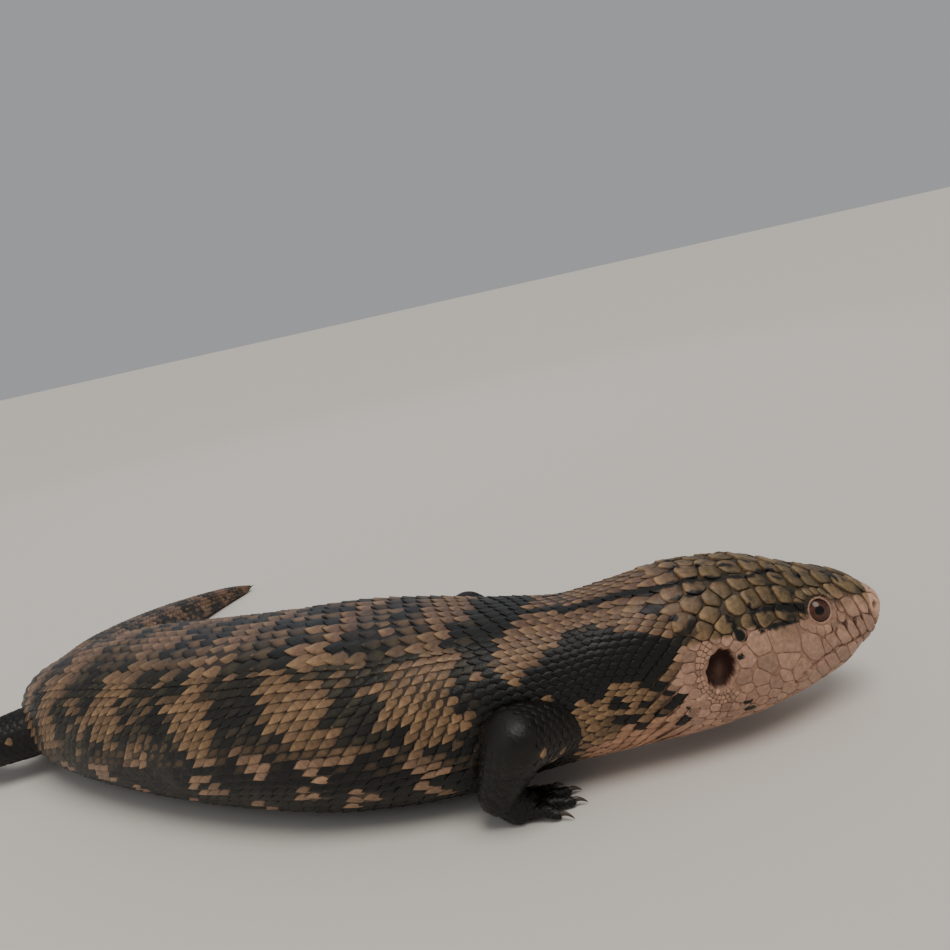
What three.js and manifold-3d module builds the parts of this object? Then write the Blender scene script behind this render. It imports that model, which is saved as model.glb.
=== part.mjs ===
import * as THREE from 'three';
import Module from 'manifold-3d';

// Blue tongued skink lying on a floor, life size. Millimetres, +Z up, +X towards the snout.
// The origin is on the floor under the middle of the belly.

const wasm = await Module();
wasm.setup();
const Solid = wasm.Manifold;

// Sizes.
const bodyLength = 440; // snout to tail tip along the spine
const originStation = 160; // distance from the snout of the section above the origin
const gap = 0.3; // clearance between one node and the next
const roundSides = 34; // sides of a body section
const headSides = 30;
const tailSides = 24;

// Distance from the snout: half width, height over the spine line, depth below it, lift of the underside.
const sections = [
  [0, 0, 0, 0, 13.4],
  [2, 6.2, 3.8, 7.2, 13.2],
  [6, 9.2, 6.9, 9.0, 12.8],
  [12, 11.8, 10.7, 12.7, 9.7],
  [20, 14.4, 14.0, 14.9, 7.3],
  [30, 17.4, 17.4, 17.1, 5.4],
  [42, 19.6, 20.2, 18.7, 4.5],
  [54, 18.8, 21.2, 19.6, 4.3],
  [66, 18.2, 20.4, 20.0, 4.3],
  [80, 19.8, 19.6, 19.6, 4.2],
  [92, 23.4, 21.0, 20.1, 3.2],
  [106, 28.0, 22.9, 21.4, 0.8],
  [122, 32.0, 24.1, 22.7, -0.8],
  [140, 34.4, 24.3, 23.5, -1.5],
  [165, 33.6, 23.4, 22.8, -1.5],
  [200, 31.2, 22.4, 21.6, -1.5],
  [225, 29.2, 21.6, 20.4, -1.5],
  [245, 26.2, 19.8, 18.4, -1.5],
  [260, 22.6, 17.8, 16.4, -1.5],
  [275, 19.2, 15.6, 14.6, -1.5],
  [290, 16.6, 13.8, 13.2, -1.4],
  [320, 13.8, 12.0, 11.8, -1.2],
  [360, 10.4, 9.3, 9.2, -1.0],
  [400, 6.6, 6.1, 6.0, -0.8],
  [430, 3.0, 2.9, 2.8, -0.5],
  [440, 0, 0, 0, 2.0],
];

// Distance from the snout: heading of the spine in degrees, towards the snout, +X = 0.
const headings = [
  [0, 9],
  [50, 18],
  [90, -7],
  [150, -22],
  [200, -30],
  [250, -37],
  [285, -70],
  [340, -90],
  [400, -106],
  [440, -120],
];

const cuts = { head: 62, neck: 88, forebody: 170, hindbody: 282, tailBase: 335, tailMiddle: 390 };

// How far the tip of the snout is pushed in, and over what length behind it.
const snoutBlunt = 3;
const bluntLength = 6;

// The eyes look sideways, leaning forward and upward by these degrees; proud is how far their lids stand out.
const eye = { station: 22.3, angle: 21.3, radius: 4.0, sunk: 3.1, half: [2.55, 2.68], lid: 0.5 };
const gaze = { lean: 4, rise: 20, proud: 0.35 };
const ear = { station: 51.3, angle: -0.2, half: [3.4, 4.8], depth: 3.4, tilt: -21, lobule: 0.9 };
const nostril = { station: 4.6, angle: 15, radius: 0.8 };

// The line of the closed mouth: distance from the snout, and distance round from the middle of the back.
const mouthLine = [
  [1.0, 8.5],
  [3.0, 13.5],
  [6.0, 17.5],
  [12.4, 23.3],
  [18.8, 26.4],
  [23.8, 30.2],
  [28.2, 34.1],
  [32.0, 38.0],
];
const mouthRadius = 0.42;

// Smooth tables.
function slopes(table, column) {
  const steps = [];
  for (let i = 0; i < table.length - 1; i++) {
    steps.push((table[i + 1][column] - table[i][column]) / (at(table[i + 1][0]) - at(table[i][0])));
  }
  const result = [steps[0]];
  for (let i = 1; i < steps.length; i++) {
    const sameWay = steps[i - 1] * steps[i] > 0;
    result.push(sameWay ? (2 * steps[i - 1] * steps[i]) / (steps[i - 1] + steps[i]) : 0);
  }
  result.push(steps[steps.length - 1]);
  return result;
}

// The square root of the distance opens out the short, blunt snout.
function at(station) {
  return Math.sqrt(Math.max(station, 0));
}

function smooth(table, column) {
  const slope = slopes(table, column);
  return (station) => {
    let i = 0;
    while (i < table.length - 2 && station > table[i + 1][0]) i++;
    const x0 = at(table[i][0]);
    const width = at(table[i + 1][0]) - x0;
    const t = Math.min(Math.max((at(station) - x0) / width, 0), 1);
    const t2 = t * t;
    const t3 = t2 * t;
    return (
      (2 * t3 - 3 * t2 + 1) * table[i][column] +
      (t3 - 2 * t2 + t) * width * slope[i] +
      (3 * t2 - 2 * t3) * table[i + 1][column] +
      (t3 - t2) * width * slope[i + 1]
    );
  };
}

const halfWidth = smooth(sections, 1);
const topHeight = smooth(sections, 2);
const lowDepth = smooth(sections, 3);
const lift = smooth(sections, 4);
const heading = smooth(headings, 1);

// Spine and skin surface.
const spineStep = 0.5;

function traceSpine() {
  const count = Math.round(bodyLength / spineStep) + 1;
  const points = [new THREE.Vector3()];
  for (let i = 1; i < count; i++) {
    const turn = THREE.MathUtils.degToRad(heading((i - 0.5) * spineStep));
    const last = points[i - 1];
    points.push(new THREE.Vector3(last.x - Math.cos(turn) * spineStep, last.y - Math.sin(turn) * spineStep, 0));
  }
  const origin = points[Math.round(originStation / spineStep)].clone();
  points.forEach((point, i) => {
    point.sub(origin);
    point.z = lift(i * spineStep) + lowDepth(i * spineStep);
  });
  return points;
}

const spine = traceSpine();

function spinePoint(station) {
  const place = Math.min(Math.max(station / spineStep, 0), spine.length - 1.001);
  const i = Math.floor(place);
  return spine[i].clone().lerp(spine[i + 1], place - i);
}

// Centre, forward, right flank and up of the section at a distance from the snout.
function frame(station) {
  const reach = 2;
  const front = spinePoint(Math.max(station - reach, 0));
  const rear = spinePoint(Math.min(station + reach, bodyLength));
  const forward = front.sub(rear).normalize();
  const right = forward.clone().cross(new THREE.Vector3(0, 0, 1)).normalize();
  const up = right.clone().cross(forward).normalize();
  const blunt = snoutBlunt * Math.max(1 - station / bluntLength, 0) ** 2;
  return { centre: spinePoint(station + blunt), forward, right, up };
}

// Sections are superellipses: 2 is an ellipse, and more is boxier.
const boxiness = 2.35;

// Angle 0 is the right flank, 90 the back, -90 the belly.
function sectionPoint(station, angle, outset = 0) {
  const turn = THREE.MathUtils.degToRad(angle);
  const power = 2 / boxiness;
  const across = Math.sign(Math.cos(turn)) * Math.abs(Math.cos(turn)) ** power;
  const over = Math.sign(Math.sin(turn)) * Math.abs(Math.sin(turn)) ** power;
  const height = over > 0 ? topHeight(station) : lowDepth(station);
  return new THREE.Vector2(across * (halfWidth(station) + outset), over * (height + outset));
}

function skinPoint(station, angle, outset = 0) {
  const { centre, right, up } = frame(station);
  const place = sectionPoint(station, angle, outset);
  const point = centre.addScaledVector(right, place.x).addScaledVector(up, place.y);
  point.z = Math.max(point.z, 0);
  return point;
}

function skinNormal(station, angle) {
  const ahead = skinPoint(station - 0.5, angle);
  const behind = skinPoint(station + 0.5, angle);
  const over = skinPoint(station, angle + 2);
  const under = skinPoint(station, angle - 2);
  return ahead.sub(behind).cross(over.sub(under)).normalize();
}

// Solids.
function solidFrom(points, triangles) {
  const vertProperties = new Float32Array(points.length * 3);
  points.forEach((point, i) => point.toArray(vertProperties, i * 3));
  return new Solid(new wasm.Mesh({ numProp: 3, vertProperties, triVerts: new Uint32Array(triangles) }));
}

// A length of the body between two distances, closed by a flat face or a point at each end.
function bodyLengthSolid(from, to, rings, sides, outset = 0) {
  const points = [];
  const triangles = [];
  const start = at(from);
  const span = at(to) - start;
  for (let i = 0; i <= rings; i++) {
    const station = (start + (span * i) / rings) ** 2;
    for (let j = 0; j < sides; j++) points.push(skinPoint(station, -90 + (360 * j) / sides, outset));
  }
  const front = points.length;
  points.push(from < 1 ? frame(0).centre.addScaledVector(frame(0).forward, outset) : spinePoint(from));
  points.push(to > bodyLength - 1 ? spinePoint(bodyLength) : spinePoint(to));
  for (let j = 0; j < sides; j++) {
    const next = (j + 1) % sides;
    triangles.push(front, next, j);
    triangles.push(front + 1, rings * sides + j, rings * sides + next);
    for (let i = 0; i < rings; i++) {
      const a = i * sides + j;
      const b = i * sides + next;
      triangles.push(a, b, a + sides, b, b + sides, a + sides);
    }
  }
  return solidFrom(points, triangles);
}

function ball(centre, radius, sides) {
  return Solid.sphere(radius, sides).translate([centre.x, centre.y, centre.z]);
}

// A rounded limb bone with its flesh: two balls and all that lies between them.
function capsule(a, radiusA, b, radiusB, sides) {
  return Solid.hull([ball(a, radiusA, sides), ball(b, radiusB, sides)]);
}

function aboveFloor(solid) {
  return solid.trimByPlane([0, 0, 1], 0);
}

function largest(solid) {
  const pieces = solid.decompose();
  return pieces.reduce((best, piece) => (piece.volume() > best.volume() ? piece : best));
}

function vector(values) {
  return new THREE.Vector3(...values);
}

// Splits a limb by a plane between two joints, half the gap to each side.
function splitAt(solid, point, direction) {
  const normal = direction.clone().normalize();
  const offset = point.dot(normal);
  const beyond = solid.trimByPlane(normal.toArray(), offset + gap / 2);
  const before = solid.trimByPlane(normal.clone().negate().toArray(), -(offset - gap / 2));
  return [before, beyond];
}

// Head shields.
const shield = { height: 0.45, faceHeight: 0.25, dome: 0.12, root: 0.9, shrink: 0.9, rearLift: 0.03 };
const outlineCorners = 6; // of a shield before its neighbours cut it back
const outlineReach = 1.3; // radii
const faceFrom = 21; // distance round from the back where the flat plates of the face begin
const capEdge = 3.4; // shields begin and end at these distances over the surface
const headEnd = 64.5;
const raisedFrom = 2.2; // smaller shields than this only bound their neighbours
const shortestSide = 1.1; // shorter sides of an outline are left out
const arcStep = 2; // degrees

// Distance round the section from the middle of the back down to an angle on the right side.
function arcAt(station, angle) {
  let length = 0;
  for (let turn = 90; turn > angle; turn -= arcStep) {
    const next = Math.max(turn - arcStep, angle);
    length += sectionPoint(station, turn).distanceTo(sectionPoint(station, next));
  }
  return length;
}

// The reverse; a distance below zero is on the left side.
function angleAt(station, arc) {
  let left = Math.abs(arc);
  let turn = 90;
  while (turn > -88) {
    const step = sectionPoint(station, turn).distanceTo(sectionPoint(station, turn - arcStep));
    if (step >= left) {
      turn -= (arcStep * left) / step;
      break;
    }
    left -= step;
    turn -= arcStep;
  }
  return arc < 0 ? 180 - turn : turn;
}

// Shields are laid out on a plan of the head: distance over the surface from the snout, and round from the back.
const snoutRound = 4;

function surfaceDistance(station) {
  return Math.sqrt(station ** 2 + 2 * snoutRound * station);
}

function stationOf(distance) {
  return Math.sqrt(snoutRound ** 2 + distance ** 2) - snoutRound;
}

// Shields of one side: distance from the snout, distance round from the back and radius.
// The border of two shields lies where the distances to both, less their radii, balance.
const sideShields = {
  snout: [
    [4.6, 9.6, 2.6], [7.0, 5.4, 2.4], [10.7, 7.6, 2.7], [8.8, 12.7, 1.9], [12.5, 14.9, 2.2],
    [15.2, 11.2, 2.0], [15.6, 15.6, 1.1], [16.3, 18.2, 1.2],
  ],
  overEye: [
    [16.4, 6.8, 2.4], [21.0, 9.2, 2.3], [25.6, 10.0, 2.3], [30.2, 10.6, 2.2], [20.2, 4.9, 2.2],
    [26.0, 5.0, 2.2], [27.6, 17.6, 1.4],
  ],
  upperLip: [
    [7.2, 16.0, 1.8], [10.1, 18.9, 2.2], [13.1, 21.0, 2.2], [16.5, 22.9, 2.4], [19.8, 25.0, 2.2],
    [22.3, 26.9, 1.8],
  ],
  lowerLip: [
    [6.2, 20.6, 2.0], [9.6, 24.2, 2.1], [13.0, 26.6, 2.2], [16.8, 28.6, 2.3], [20.2, 30.9, 2.3],
    [23.0, 33.4, 2.2], [25.6, 36.4, 2.1], [28.4, 39.4, 2.1],
  ],
  underEye: [[19.2, 21.0, 1.3], [21.4, 22.6, 1.1], [25.8, 23.1, 1.1], [28.0, 22.4, 1.2]],
  cheek: [
    [26.0, 27.4, 3.2], [34.7, 26.6, 4.4], [33.9, 31.7, 3.0], [30.4, 34.4, 3.0], [41.4, 28.2, 3.0],
    [39.9, 32.8, 2.4], [42.0, 36.4, 2.1], [37.8, 38.2, 1.7], [33.6, 39.8, 2.1], [45.4, 30.8, 2.4],
    [46.2, 35.6, 1.9],
  ],
  temple: [
    [31.6, 15.6, 2.2], [36.0, 16.2, 2.3], [40.4, 17.4, 2.3], [44.6, 18.6, 2.2], [33.0, 20.9, 2.2],
    [38.0, 22.2, 2.4], [42.8, 22.9, 1.7], [46.0, 25.4, 1.5],
  ],
  nape: [
    [48.7, 22.8, 2.1], [51.2, 19.5, 2.2], [46.7, 14.4, 2.2], [49.6, 16.0, 2.2], [54.0, 16.2, 2.3],
    [52.0, 12.0, 2.3], [57.0, 12.0, 2.3], [41.6, 12.8, 2.3], [36.4, 11.8, 2.2], [46.3, 7.9, 2.4],
    [51.3, 6.4, 2.5], [56.2, 7.0, 2.4], [45.2, 2.6, 2.4], [40.6, 6.6, 2.6], [35.4, 6.6, 2.6],
  ],
};
const middleShields = [[8.6, 0, 3.0], [15.6, 0, 3.6], [25.0, 0, 4.0], [33.4, 0, 3.6], [39.6, 0, 2.6]];
const eyeRoom = 2.8;
const earRoom = 4.2;

// Keeps the part of a convex outline on one shield's side of its border with another.
function nearerPart(outline, seed, other) {
  const toward = [seed[0] - other[0], seed[1] - other[1]];
  const apart = toward[0] ** 2 + toward[1] ** 2;
  const share = (apart + seed[2] ** 2 - other[2] ** 2) / (2 * apart);
  const side = (point) =>
    (point[0] - seed[0] + toward[0] * share) * toward[0] + (point[1] - seed[1] + toward[1] * share) * toward[1];
  const kept = [];
  outline.forEach((point, i) => {
    const next = outline[(i + 1) % outline.length];
    const here = side(point);
    const there = side(next);
    if (here >= 0) kept.push(point);
    if (here * there < 0) {
      const t = here / (here - there);
      kept.push([point[0] + (next[0] - point[0]) * t, point[1] + (next[1] - point[1]) * t]);
    }
  });
  return kept;
}

// One raised plate with a root sunk in the head; the rear edge stands a little higher.
function shieldSolid(outline) {
  const middle = [0, 1].map((k) => outline.reduce((sum, point) => sum + point[k], 0) / outline.length);
  const height = Math.abs(middle[1]) > faceFrom ? shield.faceHeight : shield.height;
  const place = (point, shrink, outset) => {
    const distance = middle[0] + (point[0] - middle[0]) * shrink;
    const round = middle[1] + (point[1] - middle[1]) * shrink;
    const station = stationOf(distance);
    return skinPoint(station, angleAt(station, round), outset + shield.rearLift * (distance - middle[0])).toArray();
  };
  const points = [place(middle, 1, height + shield.dome)];
  for (const point of outline) {
    points.push(place(point, shield.shrink, height), place(point, shield.shrink + 0.04, -shield.root));
  }
  return Solid.hull(points);
}

function headShields() {
  const place = ([station, round, radius]) => [surfaceDistance(station), round, radius];
  const right = Object.values(sideShields).flat().map(place);
  const holes = [
    [surfaceDistance(eye.station), arcAt(eye.station, eye.angle), eyeRoom],
    [surfaceDistance(ear.station), arcAt(ear.station, ear.angle), earRoom],
  ];
  const mirrored = ([distance, round, radius]) => [distance, -round, radius];
  const raised = [...middleShields.map(place), ...right, ...right.map(mirrored)];
  const seeds = [...raised, ...holes, ...holes.map(mirrored)];
  const shields = [];
  for (const seed of raised) {
    if (seed[2] < raisedFrom) continue;
    const reach = seed[2] * outlineReach;
    let outline = [];
    for (let i = 0; i < outlineCorners; i++) {
      const turn = (i / outlineCorners) * Math.PI * 2;
      const distance = THREE.MathUtils.clamp(seed[0] + Math.cos(turn) * reach, capEdge, headEnd);
      outline.push([distance, seed[1] + Math.sin(turn) * reach]);
    }
    for (const other of seeds) {
      if (other !== seed) outline = nearerPart(outline, seed, other);
    }
    outline = outline.filter((point, i) => {
      const next = outline[(i + 1) % outline.length];
      return Math.hypot(point[0] - next[0], point[1] - next[1]) > shortestSide;
    });
    if (outline.length > 2) shields.push(shieldSolid(outline));
  }
  return Solid.union(shields);
}

// Head.
// Middle of the lids, the direction in which an eye looks and the centre of its ball; side 0 is the right.
function eyeAxes(side) {
  const { forward, right, up } = frame(eye.station);
  const lean = THREE.MathUtils.degToRad(gaze.lean);
  const rise = THREE.MathUtils.degToRad(gaze.rise);
  const level = right.clone().multiplyScalar(side ? -Math.cos(lean) : Math.cos(lean));
  level.addScaledVector(forward, Math.sin(lean));
  const out = level.multiplyScalar(Math.cos(rise)).addScaledVector(up, Math.sin(rise)).normalize();
  const middle = skinPoint(eye.station, side ? 180 - eye.angle : eye.angle).addScaledVector(out, gaze.proud);
  return { middle, out, centre: middle.clone().addScaledVector(out, -eye.sunk) };
}

function buildHead() {
  let solid = bodyLengthSolid(0.02, cuts.head - gap / 2, 17, headSides).add(headShields());
  for (const side of [0, 1]) {
    const turnTo = (angle) => (side ? 180 - angle : angle);
    const { middle, out, centre } = eyeAxes(side);
    // The skin about the eye runs down or up to the level of the lids.
    solid = solid.subtract(cone(middle, out, 0, socket.narrow, socket.deep, socket.wide));
    solid = solid.add(cone(middle, out, -socket.deep, socket.wide, 0, socket.narrow));
    solid = solid.add(lidRing(middle, out));
    solid = solid.subtract(ball(centre, eye.radius + gap, 20));
    solid = solid.subtract(earCup(turnTo(ear.angle), side));
    for (const up of [-2.6, 0, 2.6]) {
      const lobule = skinPoint(ear.station - ear.half[0], turnTo(ear.angle + up * 3));
      solid = solid.add(ball(lobule, ear.lobule, 6));
    }
    const hole = skinPoint(nostril.station, turnTo(nostril.angle), shield.height);
    solid = solid.subtract(ball(hole, nostril.radius, 8));
  }
  return largest(solid.subtract(mouthGroove()));
}

// A cut-off cone about an axis, from one height and radius to another.
const socket = { narrow: 3.3, wide: 5.0, deep: 2.4, sides: 12 };

function cone(middle, axis, low, lowRadius, high, highRadius) {
  const [a, b] = crossAxes(axis);
  const points = [];
  for (let i = 0; i < socket.sides; i++) {
    const turn = (i / socket.sides) * Math.PI * 2;
    for (const [height, radius] of [[low, lowRadius], [high, highRadius]]) {
      const point = middle.clone().addScaledVector(axis, height);
      point.addScaledVector(a, Math.cos(turn) * radius).addScaledVector(b, Math.sin(turn) * radius);
      points.push(point.toArray());
    }
  }
  return Solid.hull(points);
}

// Two perpendicular directions across an axis.
function crossAxes(axis) {
  const first = new THREE.Vector3(0, 0, 1).cross(axis).normalize();
  return [first, axis.clone().cross(first).normalize()];
}

// The lids stand as a low rounded rim about the eye.
function lidRing(middle, out) {
  const [a, b] = crossAxes(out);
  const count = 11;
  const balls = [];
  for (let i = 0; i < count; i++) {
    const turn = (i / count) * Math.PI * 2;
    const place = middle
      .clone()
      .addScaledVector(out, -eye.lid * 0.6)
      .addScaledVector(a, Math.cos(turn) * (eye.half[0] + eye.lid))
      .addScaledVector(b, Math.sin(turn) * (eye.half[1] + eye.lid));
    balls.push(ball(place, eye.lid, 6));
  }
  return Solid.union(balls.map((piece, i) => Solid.hull([piece, balls[(i + 1) % count]])));
}

function earCup(angle, side) {
  const centre = skinPoint(ear.station, angle);
  const out = skinNormal(ear.station, angle);
  const [along, up] = crossAxes(out);
  const lean = THREE.MathUtils.degToRad(side ? -ear.tilt : ear.tilt);
  const long = up.clone().applyAxisAngle(out, lean);
  const wide = along.clone().applyAxisAngle(out, lean);
  const points = [];
  const sides = 12;
  for (let i = 0; i < sides; i++) {
    const turn = (i / sides) * Math.PI * 2;
    for (const [size, depth] of [[1, 2.5], [1, -ear.depth * 0.5], [0.55, -ear.depth]]) {
      points.push(
        centre
          .clone()
          .addScaledVector(out, depth)
          .addScaledVector(wide, Math.cos(turn) * ear.half[0] * size)
          .addScaledVector(long, Math.sin(turn) * ear.half[1] * size)
          .toArray(),
      );
    }
  }
  return Solid.hull(points);
}

// The line of the closed mouth, cut round the front of the snout from one corner to the other.
function mouthGroove() {
  const right = mouthLine.map(([station, arc]) => skinPoint(station, angleAt(station, arc)));
  const left = mouthLine.map(([station, arc]) => skinPoint(station, angleAt(station, -arc)));
  const places = [...right.reverse(), skinPoint(0.3, -90), ...left];
  const balls = places.map((place) => ball(place, mouthRadius, 4));
  const lengths = [];
  for (let i = 0; i < balls.length - 1; i++) lengths.push(Solid.hull([balls[i], balls[i + 1]]));
  return Solid.union(lengths);
}

function buildEye(side) {
  return ball(eyeAxes(side).centre, eye.radius, 20);
}

// Limbs.
// Joints run from inside the body to the wrist or ankle, each with the radius of the flesh there.
const limbs = {
  foreleg_right: {
    joints: [[74, -30, 18, 8.6], [62.5, -46.5, 21.2, 8.0], [55.5, -44, 8, 5.0]],
    palm: [59.5, -41.8, 3.2],
    palmRadius: 5.2,
    pointing: 22,
    toes: [[46, 6.0], [25, 8.2], [6, 9.2], [-15, 8.6], [-40, 6.2]],
  },
  foreleg_left: {
    joints: [[64, -5, 20, 8.4], [50, 13.6, 33, 6.6], [45, 20.5, 11, 5.0]],
    palm: [49, 23, 3.3],
    palmRadius: 5.2,
    pointing: 22,
    toes: [[-46, 6.0], [-24, 8.2], [-2, 9.2], [20, 8.6], [46, 6.2]],
  },
  hindleg_right: {
    joints: [[-83, 42, 15.5, 9.8], [-110.5, 33, 13.5, 7.8], [-126.5, 45.5, 7.2, 5.3]],
    palm: [-133.5, 50.5, 3.3],
    palmRadius: 5.0,
    pointing: 146,
    toes: [[34, 5.6], [18, 7.8], [2, 10.0], [-14, 11.4], [-44, 7.0]],
  },
  hindleg_left: {
    joints: [[-74, 58, 15.5, 9.8], [-53, 79, 14.2, 7.8], [-65.5, 93.8, 7.0, 5.3]],
    palm: [-62, 101, 3.3],
    palmRadius: 5.0,
    pointing: 58,
    toes: [[-34, 5.6], [-18, 7.8], [-2, 10.0], [14, 11.4], [44, 7.0]],
  },
};

const toeRadius = 2.1;
const clawLength = 3.0;

function buildToe(start, angle, length) {
  const turn = THREE.MathUtils.degToRad(angle);
  const direction = new THREE.Vector3(Math.cos(turn), Math.sin(turn), 0);
  const knuckle = start.clone().addScaledVector(direction, length * 0.5).setZ(toeRadius + 0.5);
  const tip = start.clone().addScaledVector(direction, length).setZ(toeRadius * 0.8 - 0.1);
  const clawRoot = tip.clone().addScaledVector(direction, 0.8).setZ(1.5);
  const clawTip = tip.clone().addScaledVector(direction, clawLength + 0.8).setZ(0.35);
  return [
    capsule(start, toeRadius + 0.3, knuckle, toeRadius, 8),
    capsule(knuckle, toeRadius, tip, toeRadius * 0.8, 8),
    capsule(clawRoot, 0.95, clawTip, 0.4, 4),
  ];
}

function buildLimb(plan, bodyOutset) {
  const joints = plan.joints.map((joint) => vector(joint.slice(0, 3)));
  const radii = plan.joints.map((joint) => joint[3]);
  const palm = vector(plan.palm);
  const flesh = [
    capsule(joints[0], radii[0], joints[1], radii[1], 16),
    capsule(joints[1], radii[1], joints[2], radii[2], 16),
    Solid.hull([
      ball(joints[2], radii[2] * 0.94, 12),
      ball(new THREE.Vector3(), plan.palmRadius, 12).scale([1, 1, 0.66]).translate(plan.palm),
    ]),
  ];
  for (const [spread, length] of plan.toes) {
    const angle = plan.pointing + spread;
    const turn = THREE.MathUtils.degToRad(plan.pointing + spread * 1.3);
    const reach = plan.palmRadius * 0.6;
    const start = new THREE.Vector3(palm.x + Math.cos(turn) * reach, palm.y + Math.sin(turn) * reach, 2.4);
    flesh.push(...buildToe(start, angle, length));
  }
  const whole = aboveFloor(Solid.union(flesh)).subtract(bodyOutset);
  const shin = joints[2].clone().sub(joints[1]);
  const wristCut = joints[2].clone().addScaledVector(shin.clone().normalize(), -1.5);
  return splitAt(whole, wristCut, shin).map(largest);
}

// Assembly.
const colours = {
  skin: 0x4a4034,
  headSkin: 0xa88c70,
  dark: 0x24221f,
  iris: 0x8a4326,
};

function addNode(group, name, solid, colour, roughness) {
  const { numProp, vertProperties, triVerts } = solid.getMesh();
  const box = solid.boundingBox();
  const anchor = new THREE.Vector3(
    (box.min[0] + box.max[0]) / 2,
    (box.min[1] + box.max[1]) / 2,
    (box.min[2] + box.max[2]) / 2,
  );
  const positions = new Float32Array((vertProperties.length / numProp) * 3);
  for (let i = 0; i < positions.length / 3; i++) {
    positions[i * 3] = vertProperties[i * numProp] - anchor.x;
    positions[i * 3 + 1] = vertProperties[i * numProp + 1] - anchor.y;
    positions[i * 3 + 2] = vertProperties[i * numProp + 2] - anchor.z;
  }
  const geometry = new THREE.BufferGeometry();
  geometry.setAttribute('position', new THREE.BufferAttribute(positions, 3));
  geometry.setIndex(new THREE.BufferAttribute(new Uint32Array(triVerts), 1));
  geometry.computeVertexNormals();
  const mesh = new THREE.Mesh(
    geometry,
    new THREE.MeshStandardMaterial({ color: colour, roughness, metalness: 0 }),
  );
  mesh.name = name;
  mesh.position.copy(anchor);
  group.add(mesh);
}

const skink = new THREE.Group();
skink.name = 'skink';

addNode(skink, 'head', buildHead(), colours.headSkin, 0.5);
addNode(skink, 'eye_right', buildEye(0), colours.iris, 0.1);
addNode(skink, 'eye_left', buildEye(1), colours.iris, 0.1);

const half = gap / 2;
const lengths = [
  ['neck', cuts.head, cuts.neck, 6, roundSides],
  ['forebody', cuts.neck, cuts.forebody, 13, roundSides],
  ['hindbody', cuts.forebody, cuts.hindbody, 16, roundSides],
  ['tail_base', cuts.hindbody, cuts.tailBase, 7, tailSides],
  ['tail_middle', cuts.tailBase, cuts.tailMiddle, 7, tailSides],
];
for (const [name, from, to, rings, sides] of lengths) {
  addNode(skink, name, bodyLengthSolid(from + half, to - half, rings, sides), colours.skin, 0.5);
}
addNode(
  skink,
  'tail_tip',
  bodyLengthSolid(cuts.tailMiddle + half, bodyLength - 0.6, 8, tailSides),
  colours.skin,
  0.5,
);

const foreOutset = bodyLengthSolid(cuts.head + half, cuts.forebody - half, 19, roundSides, gap);
const hindOutset = bodyLengthSolid(cuts.forebody + half, cuts.hindbody - half, 16, roundSides, gap);
for (const [name, plan] of Object.entries(limbs)) {
  const [leg, foot] = buildLimb(plan, name.startsWith('fore') ? foreOutset : hindOutset);
  addNode(skink, name, leg, colours.dark, 0.5);
  addNode(skink, name.replace('leg', 'foot'), foot, colours.dark, 0.5);
}

export default skink;
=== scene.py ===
"""Looks of a life-size blue tongued skink: one skin, its scales and shields, eyes, claws and stage."""

import math

import bmesh
import bpy
import numpy as np
from mathutils import Matrix, Vector
from mathutils.bvhtree import BVHTree
from mathutils.kdtree import KDTree


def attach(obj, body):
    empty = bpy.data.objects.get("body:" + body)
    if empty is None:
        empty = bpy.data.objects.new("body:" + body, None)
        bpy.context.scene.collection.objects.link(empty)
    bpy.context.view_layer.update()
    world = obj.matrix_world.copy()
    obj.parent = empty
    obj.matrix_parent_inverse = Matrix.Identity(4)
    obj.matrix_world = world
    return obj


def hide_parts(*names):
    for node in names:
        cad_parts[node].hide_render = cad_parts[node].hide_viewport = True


bl_info = {
    "name": "Blue Tongued Skink",
    "version": (1, 0, 0),
    "blender": (4, 5, 0),
    "location": "3D View > Sidebar > Skink",
    "description": "Builds the skin, scales, eyes and claws of a life-size skink over its solids",
    "category": "Add Mesh",
}

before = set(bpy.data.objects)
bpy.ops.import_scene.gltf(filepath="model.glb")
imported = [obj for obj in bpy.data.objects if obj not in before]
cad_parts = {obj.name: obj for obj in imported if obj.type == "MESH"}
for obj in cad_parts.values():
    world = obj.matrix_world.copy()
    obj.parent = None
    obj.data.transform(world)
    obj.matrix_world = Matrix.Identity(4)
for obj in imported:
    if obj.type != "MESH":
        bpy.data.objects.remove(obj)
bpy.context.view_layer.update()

MM = 0.001
SEED = 7

# Shape. Sizes and places are in mm; a station is a distance from the snout along the spine.

BODY_LENGTH = 440.0
# The frame's origin lies under this station.
ORIGIN_STATION = 160.0
# How square the sections of the body are; 2 is round.
BOXINESS = 2.35

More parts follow.
